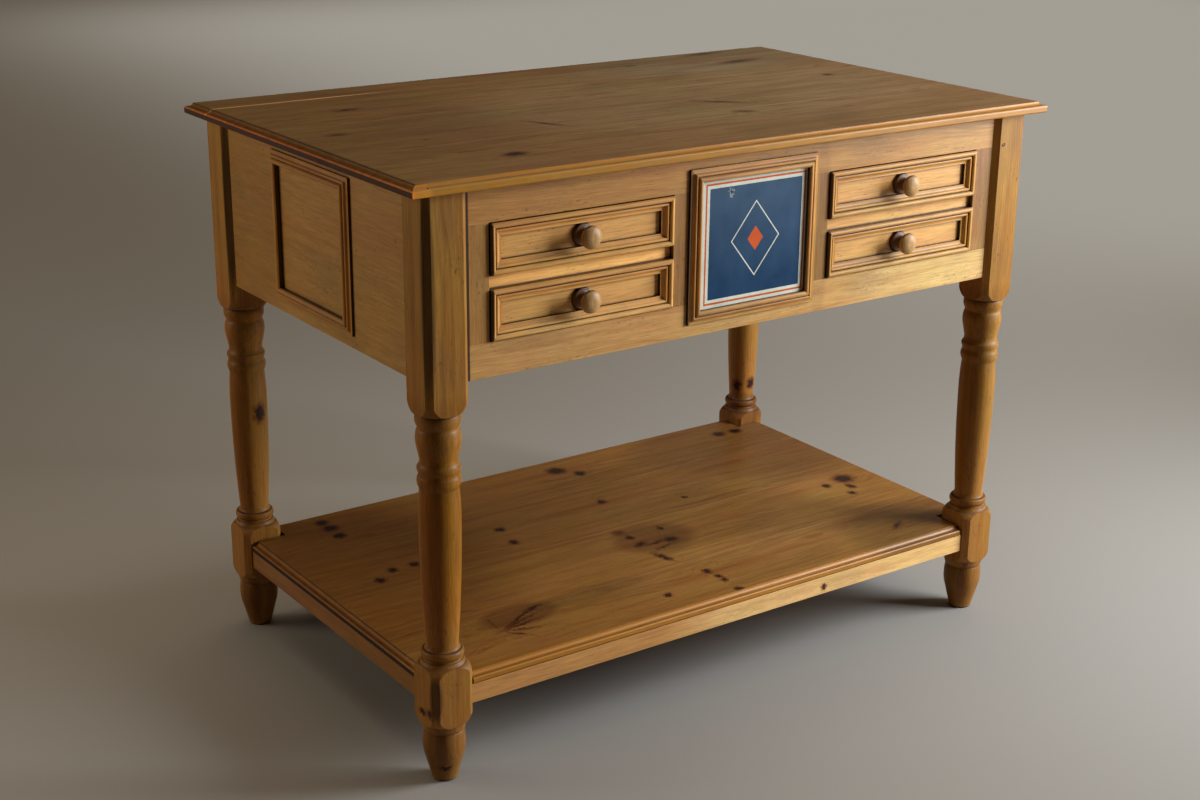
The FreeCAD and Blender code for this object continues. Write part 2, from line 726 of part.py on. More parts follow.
def drawer(side, sign, knob):
    """One drawer with its five boards, two moulding frames and two knobs."""
    name = f"drawer_{side}"
    inner, outer = opening_inner_x + d.drawer_gap, opening_outer_x - d.drawer_gap
    z = (drawer_bottom_z, drawer_top_z)
    side_z = (drawer_bottom_z, drawer_side_top_z)
    rebate_y = drawer_front_back_y - d.drawer_rebate_depth
    side_in = {
        "inner": (inner, inner + d.drawer_side_thickness),
        "outer": (outer - d.drawer_side_thickness, outer),
    }
    groove_z = (drawer_bottom_z + d.drawer_groove_rise,
                drawer_bottom_z + d.drawer_groove_rise + d.drawer_bottom_thickness)
    loose_groove_z = wider(groove_z, d.drawer_groove_gap)
    clear_x = (inner + d.drawer_side_thickness, outer - d.drawer_side_thickness)
    groove_x = wider(clear_x, d.drawer_groove_depth)
    panel_x = wider(clear_x, d.drawer_groove_depth - d.drawer_groove_gap)
    groove_y = (drawer_front_back_y - d.drawer_groove_depth, drawer_back_y + d.overrun)
    panel_y = (groove_y[0] + d.drawer_groove_gap, drawer_back_y)
    back_y = (drawer_back_y - d.drawer_side_thickness, drawer_back_y)
    mirror = lambda pair: span(sign, *pair)

    groove = block(f"{name}_groove", mirror(groove_x), groove_y, loose_groove_z)
    front_plain = block(f"{name}_front_board", mirror((inner, outer)), (drawer_face_y, drawer_front_back_y), z)
    front_tools = [groove]
    for edge, x in side_in.items():
        rebate = (rebate_y, drawer_front_back_y + d.overrun)
        past = (x[0] - d.overrun, x[1]) if edge == "inner" else (x[0], x[1] + d.overrun)
        front_tools.append(block(f"{name}_rebate_{edge}", mirror(past), rebate, wider(z, d.overrun)))
    for level, height in frame_middle_z.items():
        bore = rod(f"{name}_bore_{level}", d.knob_spigot_radius + d.knob_bore_gap,
                   ZERO, ZERO, (ZERO, d.drawer_front_thickness + d.overrun * 2))
        bore.Placement = FreeCAD.Placement(
            FreeCAD.Vector(0, 0, 0), FreeCAD.Rotation(FreeCAD.Vector(1, 0, 0), -90)
        )
        place(bore, signed(sign, drawer_middle_x), drawer_face_y - d.overrun, height)
        front_tools.append(bore)
    sub_part(cut(f"{name}_front_cut", front_plain, front_tools), f"{name}_front")

    for edge, x in side_in.items():
        plain = block(f"{name}_{edge}_board", mirror(x), (rebate_y, drawer_back_y), side_z)
        sub_part(cut(f"{name}_{edge}_cut", plain, [groove]), f"{name}_side_{edge}")
    back = block(f"{name}_back_board", mirror(clear_x), back_y, (loose_groove_z[1], drawer_side_top_z))
    sub_part(back, f"{name}_back")
    panel = block(f"{name}_panel", mirror(panel_x), panel_y, groove_z)
    sub_part(panel, f"{name}_bottom")

    for level, height in frame_middle_z.items():
        place_frame(f"{name}_moulding_{level}", drawer_strips, signed(sign, drawer_middle_x), drawer_face_y, height)
        copy = group(f"{name}_knob_{level}_copy", [knob])
        place(copy, signed(sign, drawer_middle_x), drawer_face_y, height)
        sub_part(copy, f"{name}_knob_{level}")


knob = turned_knob()
for side, sign in SIDES.items():
    drawer(side, sign, knob)

# Inside the carcase: each drawer rides on two runners between two guides and under two kickers
carcase_y = (-apron_back_y, apron_back_y)
guide_z = (drawer_bottom_z, drawer_bottom_z + d.guide_height)
stops = []
for side, sign in SIDES.items():
    for edge in ("inner", "outer"):
        if edge == "inner":
            wall = opening_inner_x + d.drawer_gap - d.guide_gap
            rail_x = (wall - d.guide_thickness, opening_inner_x + d.runner_width)
            guide_x = (wall - d.guide_thickness, wall)
            kicker_x = (opening_inner_x, opening_inner_x + d.runner_width)
            stop_x = (wall + d.guide_gap, opening_inner_x + d.runner_width)
        else:
            wall = opening_outer_x - d.drawer_gap + d.guide_gap
            rail_x = (opening_outer_x - d.runner_width, wall + d.guide_thickness)
            guide_x = (wall, wall + d.guide_thickness)
            kicker_x = (opening_outer_x - d.runner_width, opening_outer_x)
            stop_x = (opening_outer_x - d.runner_width, wall - d.guide_gap)
        tag = f"{side}_{edge}"
        runner_z = (drawer_bottom_z - d.runner_height, drawer_bottom_z)
        sub_part(block(f"runner_{tag}", span(sign, *rail_x), carcase_y, runner_z), f"drawer_runner_{tag}")
        sub_part(block(f"guide_{tag}", span(sign, *guide_x), carcase_y, guide_z), f"drawer_guide_{tag}")
        kicker = block(f"kicker_{tag}_plain", span(sign, *kicker_x), carcase_y, (opening_top, under_top))
        sub_part(cut(f"kicker_{tag}", kicker, [screw_space]), f"drawer_kicker_{tag}")
        stop_y = (drawer_back_y + d.stop_gap, drawer_back_y + d.stop_gap + d.stop_length)
        stop_z = (drawer_bottom_z, drawer_bottom_z + d.stop_height)
        stops.append(block(f"stop_{tag}", span(sign, *stop_x), stop_y, stop_z))
sub_part(group("drawer_stop_group", stops), "drawer_stops")

# Shelf: a frame of four rails tenoned into the leg blocks, and four boards notched round the legs
shelf_half_x = leg_outer_x - d.shelf_setback
shelf_y = (d.shelf_setback - leg_outer_y, leg_outer_y - d.shelf_back_setback)
shelf_slab = moulded_slab(
    "shelf_slab", shelf_half_x, shelf_y, d.shelf_height, d.shelf_thickness,
    d.shelf_moulding_width, d.shelf_lip_height,
)
notch_z = (shelf_under - d.overrun, d.shelf_height + d.overrun)
notches = [
    block(
        f"notch_{end}_{side}",
        span(sign, leg_inner_x - d.shelf_notch_gap, leg_outer_x + d.overrun),
        span(direction, leg_inner_y - d.shelf_notch_gap, leg_outer_y + d.overrun),
        notch_z,
    )
    for end, direction in ENDS.items()
    for side, sign in SIDES.items()
]
notched_shelf = cut("notched_shelf", shelf_slab, notches)
shelf_joints = [shelf_y[0] + (shelf_y[1] - shelf_y[0]) * share for share in SHELF_JOINT_SHARES]
boards("shelf_board", notched_shelf, shelf_half_x, shelf_y, (shelf_under, d.shelf_height), shelf_joints)
shelf_z = (shelf_rail_bottom, shelf_under)
for end, direction in ENDS.items():
    name = f"shelf_rail_{end}"
    face = leg_outer_y - shelf_rail_setbacks[end]
    across = span(direction, face - d.shelf_rail_thickness, face)
    plain = block(f"{name}_board", (-leg_inner_x, leg_inner_x), across, shelf_z)
    tenons = long_tenons(name, face, d.shelf_rail_thickness, direction, shelf_tenon_z)
    sub_part(union(f"{name}_whole", [plain] + tenons), name)
for side, sign in SIDES.items():
    name = f"shelf_rail_{side}"
    face = leg_outer_x - shelf_rail_setbacks["side"]
    across = span(sign, face - d.shelf_rail_thickness, face)
    plain = block(f"{name}_board", across, (-leg_inner_y, leg_inner_y), shelf_z)
    tenons = end_tenons(name, face, d.shelf_rail_thickness, sign, shelf_tenon_z)
    sub_part(union(f"{name}_whole", [plain] + tenons), name)

doc.recompute()


def check_and_write():
    """Stops if any object failed, then writes each sub-part's solid."""
    for thing in doc.Objects:
        if "Invalid" in thing.State or "Error" in thing.State:
            raise RuntimeError(f"{thing.Label} failed: {thing.State}")
    os.makedirs("parts", exist_ok=True)
    for part in parts:
        if part.Shape.isNull() or not part.Shape.isValid() or not part.Shape.Solids:
            raise RuntimeError(f"{part.Label} has no valid solid")
        part.Shape.exportStep(f"parts/{part.Label}.step")
    print(len(parts), "sub-parts,", sum(len(p.Shape.Solids) for p in parts), "solids")


check_and_write()
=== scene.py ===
"""The looks of a kitchen work table in old waxed pine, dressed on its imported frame."""

import math
import random
from collections import namedtuple
from functools import partial

import bmesh
import bpy
from mathutils import Matrix, Vector, noise


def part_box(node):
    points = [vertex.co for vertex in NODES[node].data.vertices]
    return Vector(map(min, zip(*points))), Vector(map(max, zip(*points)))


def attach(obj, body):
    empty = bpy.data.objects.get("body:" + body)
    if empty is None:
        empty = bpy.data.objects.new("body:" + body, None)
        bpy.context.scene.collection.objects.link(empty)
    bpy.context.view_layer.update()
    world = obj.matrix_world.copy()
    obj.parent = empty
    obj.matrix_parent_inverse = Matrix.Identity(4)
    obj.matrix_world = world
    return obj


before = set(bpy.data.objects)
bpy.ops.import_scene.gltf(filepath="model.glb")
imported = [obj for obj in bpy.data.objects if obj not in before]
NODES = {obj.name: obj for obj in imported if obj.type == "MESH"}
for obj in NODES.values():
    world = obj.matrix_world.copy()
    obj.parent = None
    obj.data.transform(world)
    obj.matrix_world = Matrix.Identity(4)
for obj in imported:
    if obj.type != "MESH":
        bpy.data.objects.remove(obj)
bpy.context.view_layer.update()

bl_info = {
    "name": "Pine Work Table",
    "version": (1, 0, 0),
    "blender": (4, 5, 0),
    "location": "View3D > Sidebar > Work Table",
    "description": "Finishes, edges, fixings and stage of a kitchen work table in old waxed pine",
    "category": "Object",
}

MM = 0.001
SIDES = ("left", "right")


def linear(hex_code):
    """An sRGB hex colour as linear red, green, blue and alpha."""
    values = [int(hex_code[i:i + 2], 16) / 255 for i in (0, 2, 4)]
    return (*[v / 12.92 if v <= 0.04045 else ((v + 0.055) / 1.055) ** 2.4 for v in values], 1.0)


def colour_setting(name, hex_code, description):
    return bpy.props.FloatVectorProperty(
        name=name, description=description, subtype="COLOR", size=4, min=0, max=1, default=linear(hex_code)
    )


def length_setting(name, millimetres, description):
    return bpy.props.FloatProperty(
        name=name, description=description, unit="LENGTH", subtype="DISTANCE", default=millimetres * MM
    )


class WorkTableColours(bpy.types.PropertyGroup):
    """Colours of the woods, the paint and the stage."""

    top: colour_setting("Top", "9A7743", "Pale wood of the worn and waxed top")
    legs: colour_setting("Legs", "B48032", "Pale wood of the turned legs")
    aprons: colour_setting("Aprons", "CE974B", "Pale wood of the rails, stiles and aprons")
    mouldings: colour_setting("Mouldings", "DA9F46", "Pale wood of the mitred mouldings")
    drawers: colour_setting("Drawer fronts", "EEB463", "Pale wood of the drawer fronts")
    shelf: colour_setting("Shelf", "9C6F2D", "Pale wood of the shelf under many coats of wax")
    rails: colour_setting("Shelf rails", "E2A75A", "Pale wood of the rails under the shelf")
    inside: colour_setting("Inside", "CBA878", "Bare wood inside the drawers and the carcase")
    knobs: colour_setting("Knobs", "CD9D5E", "Wood of the turned knobs, worn by hands")
    late_wood: colour_setting("Late wood", "B98D5C", "What a year's dark line does to the pale wood")
    streaks: colour_setting("Streaks", "CFAE86", "What the long darker streaks do to the pale wood")
    smears: colour_setting("Smears", "665030", "Old wax and handling dirt")
    # Also the painted shade in the quirks and corners
    grime: colour_setting("Grime", "2A190C", "Dirt and wax held in quirks and corners")
    knot_heart: colour_setting("Knot heart", "24130A", "Dead wood in the middle of a knot")
    knot_halo: colour_setting("Knot halo", "8A4E1E", "Resin round a knot")
    end_grain: colour_setting("End grain", "46301C", "Sawn ends, which drink the wax")
    front_edge: colour_setting("Front edge", "D69220", "Front edges of the top and the shelf, rubbed by use")
    glue_line: colour_setting("Joint line", "B58F62", "Filled joint between two boards")
    old_wax: colour_setting("Old wax", "BC7A16", "Amber wax lying in the coves of the top and the shelf")
    # Painted shade: near-black lines in the quirks, corners and gaps, and on the mouldings' square sides
    seam: colour_setting("Seam", "120A05", "Shut lines and the bottoms of the quirks")
    navy: colour_setting("Plaque field", "0C3A5C", "Enamel paint of the plaque's field")
    cream: colour_setting("Plaque border", "E2E2CA", "Cream paint of the plaque's border")
    # Painted light: the field's colour towards its top, paler as if lit from above
    lit_navy: colour_setting("Faded plaque field", "4C6478", "Enamel paint bleached by light near its top")
    orange: colour_setting("Plaque line", "DA5A1C", "Thin warm line in the plaque's border")
    primer: colour_setting("Plaque primer", "2A3442", "Dark primer at the bottom of a chip in the paint")
    bare_tin: colour_setting("Plaque tin", "B9BEB4", "Bare tin round a chip in the paint")
    steel: colour_setting("Steel", "9A9A9C", "Zinc plated screws")
    iron: colour_setting("Iron", "2B2622", "Heads of the panel pins")
    rust: colour_setting("Rust", "4A2C1A", "Rust on the heads of the panel pins")
    floor: colour_setting("Floor", "A09B92", "Plain pale floor")
    sky: colour_setting("Studio", "D8C6B0", "Soft light all round")


class WorkTableSizes(bpy.types.PropertyGroup):
    """Sizes of the grain, the worn edges and the fixings."""

    narrow_rings: length_setting("Narrow rings", 4.0, "Year's growth in the legs and mouldings")
    wide_rings: length_setting("Wide rings", 6.5, "Year's growth in the boards")
    edge_rounding: length_setting("Edge rounding", 0.9, "How far the sawn edges have worn round")
    # Reach of the dirt and the painted shade round a quirk or corner
    dirt_and_shade_reach: length_setting("Grime reach", 7.0, "How far dirt spreads from a quirk or corner")
    # Width of the line of painted shade
    shade_line_reach: length_setting("Seam reach", 3.2, "Width of the dark line in a quirk, a corner or a gap")
    worn_reach: length_setting("Worn reach", 1.8, "How far a handled edge is rubbed pale")
    border: length_setting("Plaque border", 4.8, "Cream bands of the plaque")
    pin_radius: length_setting("Pin radius", 0.9, "Half the width of a panel pin's head")
    border_line: length_setting("Plaque line", 3.0, "Warm line inside the cream band")


def settings():
    scene = bpy.context.scene
    return scene.work_table_colours, scene.work_table_sizes


def fill(socket, value):
    """Links an input to the output that it is given, or sets it to a plain value."""
    if isinstance(value, bpy.types.NodeSocket):
        socket.id_data.links.new(value, socket)
    elif value is not None:
        socket.default_value = value


def set_inputs(node, values):
    """Links or sets a node's inputs by their names."""
    for name, value in values.items():
        fill(node.inputs[name], value)


def add_node(tree, kind, *values, stops=(), out=None, named=(), **options):
    """Adds a node, sets its options, links or sets its inputs in order, and gives back an output."""
    made = tree.nodes.new("ShaderNode" + kind)
    for option, value in options.items():
        setattr(made, option, value)
    for socket, value in zip([s for s in made.inputs if s.enabled], values):
        fill(socket, value)
    set_inputs(made, dict(named))
    for number, (place, value) in enumerate(stops):
        spots = made.color_ramp.elements
        spot = spots[number] if number < 2 else spots.new(place)
        spot.position, spot.color = place, (value, value, value, 1)
    if out:
        return made.outputs[out]
    return next(o for o in made.outputs if o.enabled)


def new_material(name):
    """A new material, its shader, and the function that adds nodes to it."""
    material = bpy.data.materials.new(name)
    material.use_nodes = True
    shader = next(node for node in material.node_tree.nodes if node.type == "BSDF_PRINCIPLED")
    return material, shader, partial(add_node, material.node_tree)


# One kind of finish: its colour, ring width and drift in mm, from 0 to 1 how strongly the rings, streaks,
# smears, dirt with painted shade, and rubbed edges show, its roughness, how pale its front edge is rubbed,
# and its shine
Finish = namedtuple("Finish", "colour rings drift figure streaks smears grime worn roughness front shine",
                    defaults=(0.0, 0.4))

# A knot or dark mark: its middle and its reach along X, Y and Z in mm, its turn about Z in degrees, and from
# 0 to 1 how dark it is
Knot = namedtuple("Knot", "x y z reach_x reach_y reach_z turn dark", defaults=(0, 1.0))


def level_knots(*knots, height, depth):
    """Knots in a level face: each one's middle and reach along X and Y, then any turn and darkness."""
    return [Knot(x, y, height, reach_x, reach_y, depth, *rest) for x, y, reach_x, reach_y, *rest in knots]


# A place where the wood is paler, over 1, or darker, under 1, from years of use, from stains, or as painted
# light and
# shade: its middle, its reach in mm and its gain, one number or one each for red, green and blue
Patch = namedtuple("Patch", "x y z reach_x reach_y reach_z gain")

GRAIN_TURNS = {"X": (0, 0, 0), "Y": (0, 0, math.radians(90)), "Z": (0, math.radians(-90), 0)}
GRAIN_AXES = {"X": (1, 0, 0), "Y": (0, 1, 0), "Z": (0, 0, 1)}


def product(colour, tint):
    return [a * b for a, b in zip(colour, tint)]


def three(gain):
    """A gain as red, green and blue."""
    return gain if isinstance(gain, tuple) else (gain, gain, gain)


def nearest_knot(n, place, knots):
    """Distance to the nearest knot's middle, counted in that knot's own reaches."""
    fray = 4 * MM
    ragged = n("TexNoise", place, 150.0, 3.0, out="Color", normalize=False)
    frayed = n("VectorMath", ragged, (fray, fray, fray), place, operation="MULTIPLY_ADD")
    nearest = None
    for k in knots:
        middle, reach = (k.x * MM, k.y * MM, k.z * MM), (k.reach_x * MM, k.reach_y * MM, k.reach_z * MM)
        inside = n("Mapping", frayed, middle, (0, 0, math.radians(k.turn)), reach, vector_type="TEXTURE")
        away = n("VectorMath", inside, operation="LENGTH")
        if k.dark < 1:
            away = n("Math", away, 1 / k.dark - 1, operation="ADD")
        nearest = away if nearest is None else n("Math", nearest, away, 0.25, operation="SMOOTH_MIN")
    return nearest


def board_space(n, place, middle, grain, lean, strips):
    """Millimetres along the grain, across it and into it from the board's middle, and any mitres."""
    to_mm = (MM, MM, MM)
    turn = [a + b for a, b in zip(GRAIN_TURNS[grain], lean)]
    board = n("Mapping", place, middle, turn, to_mm, vector_type="TEXTURE")
    if not strips:
        return board, None
    # A frame's upright strips have upright grain, and its mitres lie between them and the level ones
    upright_turn = [a + b for a, b in zip(GRAIN_TURNS["Z"], lean)]
    upright = n("Mapping", place, middle, upright_turn, to_mm, vector_type="TEXTURE")
    level = n("Mapping", place, middle, GRAIN_TURNS[grain], to_mm, vector_type="TEXTURE")
    rise = n("Mapping", place, middle, GRAIN_TURNS["Z"], to_mm, vector_type="TEXTURE")
    beside = n("Math", n("SeparateXYZ", level, out="X"), operation="ABSOLUTE")
    above = n("Math", n("SeparateXYZ", rise, out="X"), operation="ABSOLUTE")
    slant = n("Math", beside, above, operation="SUBTRACT")
    slant = n("Math", slant, strips[0] - strips[1], operation="SUBTRACT")
    board = n("Mix", n("Math", slant, 0.0, operation="GREATER_THAN"), board, upright, data_type="VECTOR")
    return board, n("MapRange", n("Math", slant, operation="ABSOLUTE"), 0.15, 0.7, 1.0, 0.0)


def grain_noise(n, board, along, across, detail=1.0, **options):
    """Noise drawn out along the grain: its size along it and across it in mm."""
    drawn_out = n("VectorMath", board, (1 / along, 1 / across, 1 / across), operation="MULTIPLY")
    return n("TexNoise", drawn_out, 1.0, detail, 0.6, **options)


def year_rings(n, board, clouds, finish, draw, near):
    """How far each spot is late wood: cylinders round a pith behind the board, pushed aside by knots."""
    pith = (0, draw.choice((-1, 1)) * draw.uniform(80, 170), draw.choice((-1, 1)) * draw.uniform(60, 150))
    from_pith = n("VectorMath", board, (0, 1, 1), pith, operation="MULTIPLY_ADD")
    radius = n("VectorMath", from_pith, operation="LENGTH")
    radius = n("Math", clouds(330, 70, normalize=False), finish.drift, radius, operation="MULTIPLY_ADD")
    radius = n("Math", clouds(90, 14, normalize=False), finish.drift / 11, radius, operation="MULTIPLY_ADD")
    if near is not None:
        bulge = n("MapRange", near, 0.4, 4.5, finish.rings * 2.2, 0.0, interpolation_type="SMOOTHSTEP")
        radius = n("Math", radius, bulge, operation="ADD")
    years = n("Math", radius, finish.rings, operation="DIVIDE")
    in_year = n("Math", years, operation="FRACT")
    year = n("TexWhiteNoise", n("Math", years, operation="FLOOR"), noise_dimensions="1D")
    late = n("ValToRGB", in_year, stops=((0.0, 0.25), (0.1, 0.0), (0.45, 0.12), (0.86, 1.0), (0.95, 1.0)))
    patchy = n("MapRange", clouds(160, 30), 0.3, 0.65, 0.25, 1.0)
    late = n("Math", late, n("MapRange", year, 0.0, 1.0, 0.25, 1.0), operation="MULTIPLY")
    return n("Math", late, patchy, operation="MULTIPLY")


def figured_wood(n, board, clouds, finish, late, fibres, smear):
    """Colour of the pale wood with its late wood, streaks, smears, pin holes and specks."""
    colours, _ = settings()
    wood = n("Mix", n("Math", late, finish.figure, operation="MULTIPLY"), finish.colour,
             product(finish.colour, colours.late_wood), data_type="RGBA")
    long_streak = n("MapRange", clouds(240, 13, 2.0), 0.42, 0.68, 0.0, finish.streaks)
    wood = n("Mix", long_streak, wood, colours.streaks, data_type="RGBA", blend_type="MULTIPLY")
    hue = n("MapRange", clouds(260, 80, 2.0), 0.35, 0.65, 0.49, 0.501)
    wood = n("HueSaturation", hue, 1.0, n("MapRange", fibres, 0.3, 0.7, 0.84, 1.14), 1.0, wood)
    wood = n("Mix", smear, wood, colours.smears, data_type="RGBA")
    # Pin holes and bruises, longer along the grain, in fewer than half of the cells that could hold one
    cells = n("VectorMath", board, (1 / 60, 1 / 26, 1 / 26), operation="MULTIPLY")
    hole = n("MapRange", n("TexVoronoi", cells, 1.0), 0.06, 0.025, 0.0, 0.75)
    chance = n("SeparateColor", n("TexVoronoi", cells, 1.0, out="Color"))
    hole = n("Math", hole, n("Math", chance, 0.6, operation="GREATER_THAN"), operation="MULTIPLY")
    wood = n("Mix", hole, wood, colours.grime, data_type="RGBA")
    # Specks of dirt in the pores, thick in some places and missing in others
    specks = n("MapRange", clouds(9, 3.2, 2.0), 0.6, 0.7, 0.0, 0.55)
    thick = n("MapRange", clouds(80, 40), 0.45, 0.62, 0.0, finish.grime)
    specks = n("Math", specks, thick, operation="MULTIPLY")
    return n("Mix", specks, wood, product(finish.colour, colours.knot_halo), data_type="RGBA")


def rubbed_front(n, wood, facing, clouds, finish, fibres):
    """The front edge of the top or the shelf, rubbed to amber."""
    colours, _ = settings()
    front = n("VectorMath", facing, (0, -1, 0), operation="DOT_PRODUCT")
    front = n("MapRange", front, 0.35, 0.8, 0.0, finish.front, interpolation_type="SMOOTHSTEP")
    uneven = n("MapRange", clouds(25, 9, 2.0), 0.35, 0.6, 0.75, 1.0)
    front = n("Math", front, uneven, operation="MULTIPLY")
    streaked = product(colours.front_edge, colours.streaks)
    amber = n("Mix", fibres, streaked, colours.front_edge, data_type="RGBA")
    return n("Mix", front, wood, amber, data_type="RGBA")


def glue_line(n, wood, place, middle, facing, clouds, joint):
    """The filled joints along a board's long edges: how far from its middle they lie, and their strength."""
    colours, _ = settings()
    edge, strength = joint
    from_middle = n("VectorMath", place, middle, operation="SUBTRACT")
    from_middle = n("Math", n("SeparateXYZ", from_middle, out="Y"), operation="ABSOLUTE")
    line = n("MapRange", from_middle, edge - 2.6 * MM, edge - 1.4 * MM, 0.0, strength)
    line = n("Math", line, n("MapRange", clouds(160, 400), 0.42, 0.6, 0.1, 1.0), operation="MULTIPLY")
    upward = n("MapRange", n("SeparateXYZ", facing, out="Z"), 0.9, 0.98, 0.0, 1.0)
    line = n("Math", line, upward, operation="MULTIPLY")
    return n("Mix", line, wood, colours.glue_line, data_type="RGBA")


def paler_and_darker_places(n, wood, place, patches):
    """Wood that is paler or darker where the patches lie."""
    for patch in patches:
        centre = (patch.x * MM, patch.y * MM, patch.z * MM)
        reach = (patch.reach_x * MM, patch.reach_y * MM, patch.reach_z * MM)
        inside = n("Mapping", place, centre, (0, 0, 0), reach, vector_type="TEXTURE")
        away = n("VectorMath", inside, operation="LENGTH")
        inside = n("MapRange", away, 0.6, 1.0, 1.0, 0.0, interpolation_type="SMOOTHSTEP")
        wood = n("Mix", inside, wood, (*three(patch.gain), 1.0), data_type="RGBA", blend_type="MULTIPLY")
    return wood


def dirt_and_shade_in_corners(n, wood, place, finish):
    """Wood darkened in its quirks by dirt and painted shade, with a line of painted shade down in each corner
    and gap.
    """
    colours, sizes = settings()
    # Dirt and painted shade, darker where ambient occlusion finds a quirk or corner
    outer = n("AmbientOcclusion", named={"Distance": sizes.dirt_and_shade_reach}, out="AO", samples=6)
    dirt_and_shade = n("MapRange", outer, 0.72, 0.22, 0.0, finish.grime * 0.85)
    uneven = n("MapRange", n("TexNoise", place, 60.0, 3.0), 0.25, 0.6, 0.5, 1.0)
    dirt_and_shade = n("Math", dirt_and_shade, uneven, operation="MULTIPLY")
    # Painted shade: a near-black line where a corner or gap lies very close
    seam = n("AmbientOcclusion", named={"Distance": sizes.shade_line_reach}, out="AO", samples=6)
    wood = n("Mix", dirt_and_shade, wood, colours.grime, data_type="RGBA")
    return n("Mix", n("MapRange", seam, 0.76, 0.54, 0.0, finish.grime), wood, colours.seam, data_type="RGBA")


def old_pine(name, finish, grain, middle, draw, knots=(), strips=None, patches=(), joint=None):
    """Old pine under wax: planed or turned, rubbed pale on its edges, and dark in its quirks with dirt and
    painted shade.

    The rings are cylinders round a pith that lies behind the board, so faces, edges and ends agree. The eye
    sees a satin honey colour, long streaks, fine dark year lines, dirt where a cloth can't reach, and painted
    shade in the quirks and corners.
    """
    colours, sizes = settings()
    material, shader, n = new_material(name)
    place = n("TexCoord", out="Object")
    facing = n("TexCoord", out="Normal")
    lean = (0, draw.uniform(-0.02, 0.02), draw.uniform(-0.012, 0.012))
    board, mitre = board_space(n, place, middle, grain, lean, strips)
    clouds = partial(grain_noise, n, board)

    # Clean wood
    near = nearest_knot(n, place, knots) if knots else None
    late = year_rings(n, board, clouds, finish, draw, near)
    fibres = clouds(38, 1.9, 2.0)
    smear = n("MapRange", clouds(150, 60, 4.0), 0.5, 0.74, 0.0, finish.smears)
    rough = n("Math", smear, 0.35, finish.roughness, operation="MULTIPLY_ADD")
    wood = figured_wood(n, board, clouds, finish, late, fibres, smear)
    if near is not None:
        halo = n("MapRange", near, 0.9, 2.2, 0.85, 0.0, interpolation_type="SMOOTHSTEP")
        wood = n("Mix", halo, wood, product(finish.colour, colours.knot_halo), data_type="RGBA")
        heart = n("MapRange", near, 0.75, 1.15, 0.94, 0.0)
        wood = n("Mix", heart, wood, colours.knot_heart, data_type="RGBA")
    if finish.front:
        wood = rubbed_front(n, wood, facing, clouds, finish, fibres)
    if joint:
        wood = glue_line(n, wood, place, middle, facing, clouds, joint)
    end = 0.0
    if not strips:
        across = n("VectorMath", facing, GRAIN_AXES[grain], operation="DOT_PRODUCT")
        end = n("MapRange", n("Math", across, operation="ABSOLUTE"), 0.55, 0.95, 0.0, 0.92)
        wood = n("Mix", end, wood, product(finish.colour, colours.end_grain), data_type="RGBA")
        rough = n("Math", end, 0.35, rough, operation="MULTIPLY_ADD")

    # Rubbed edges
    inner = n("AmbientOcclusion", named={"Distance": sizes.worn_reach}, out="AO", samples=6, inside=True,
              only_local=True)
    rub = n("Math", n("MapRange", inner, 0.85, 0.35, 0.0, finish.worn),
            n("MapRange", smear, 0.0, 0.3, 1.0, 0.4), operation="MULTIPLY")
    rub = n("Math", rub, n("Math", 1.0, end, operation="SUBTRACT"), operation="MULTIPLY")
    wood = n("Mix", rub, wood, product(finish.colour, (1.42, 1.32, 1.0, 1.0)), data_type="RGBA")
    rough = n("Math", rub, -0.12, rough, operation="MULTIPLY_ADD")

    # Wax or dirt on the slopes, the marks of use and painted light and shade, and dirt with painted shade in
    # the corners
    slope = n("Math", n("SeparateXYZ", facing, out="Z"), 0.5, operation="SUBTRACT")
    slope = n("MapRange", n("Math", slope, operation="ABSOLUTE"), 0.45, 0.3, 0.0,
              1.0 if joint else finish.smears * 1.2)
    uneven = n("MapRange", clouds(110, 20, 3.0), 0.3, 0.6, 0.5, 1.0)
    slope = n("Math", slope, uneven, operation="MULTIPLY")
    wood = n("Mix", slope, wood, colours.old_wax if joint else colours.smears, data_type="RGBA")
    if strips:
        # The strips' square sides are darkened almost to black: dirt that a cloth passes over, and painted
        # shade
        outward = n("VectorMath", facing, (1, 0, 0) if grain == "Y" else (0, 1, 0), operation="DOT_PRODUCT")
        flank = n("MapRange", n("Math", outward, operation="ABSOLUTE"), 0.3, 0.1, 0.0, 0.9)
        wood = n("Mix", flank, wood, colours.seam, data_type="RGBA")
    wood = paler_and_darker_places(n, wood, place, patches)
    wood = dirt_and_shade_in_corners(n, wood, place, finish)
    if mitre is not None:
        wood = n("Mix", n("Math", mitre, 0.75, operation="MULTIPLY"), wood, colours.grime, data_type="RGBA")

    # Late wood stands proud of the early wood, and fibres show in the wax
    height = n("Math", late, 0.6, fibres, operation="MULTIPLY_ADD")
    soft_edges = n("Bevel", sizes.edge_rounding, samples=4)
    relief = {"Strength": 0.5, "Distance": 0.25 * MM, "Height": height, "Normal": soft_edges}
    set_inputs(shader, {
        "Base Color": wood, "Roughness": rough, "Normal": n("Bump", named=relief), "IOR": 1.48,
        "Specular IOR Level": finish.shine, "Coat Weight": finish.shine * 0.2, "Coat Roughness": 0.3,
    })
    return material


def paint(name, material):
    """Puts a material on a piece of the frame."""
    for slot in NODES[name].material_slots:
        slot.material = material


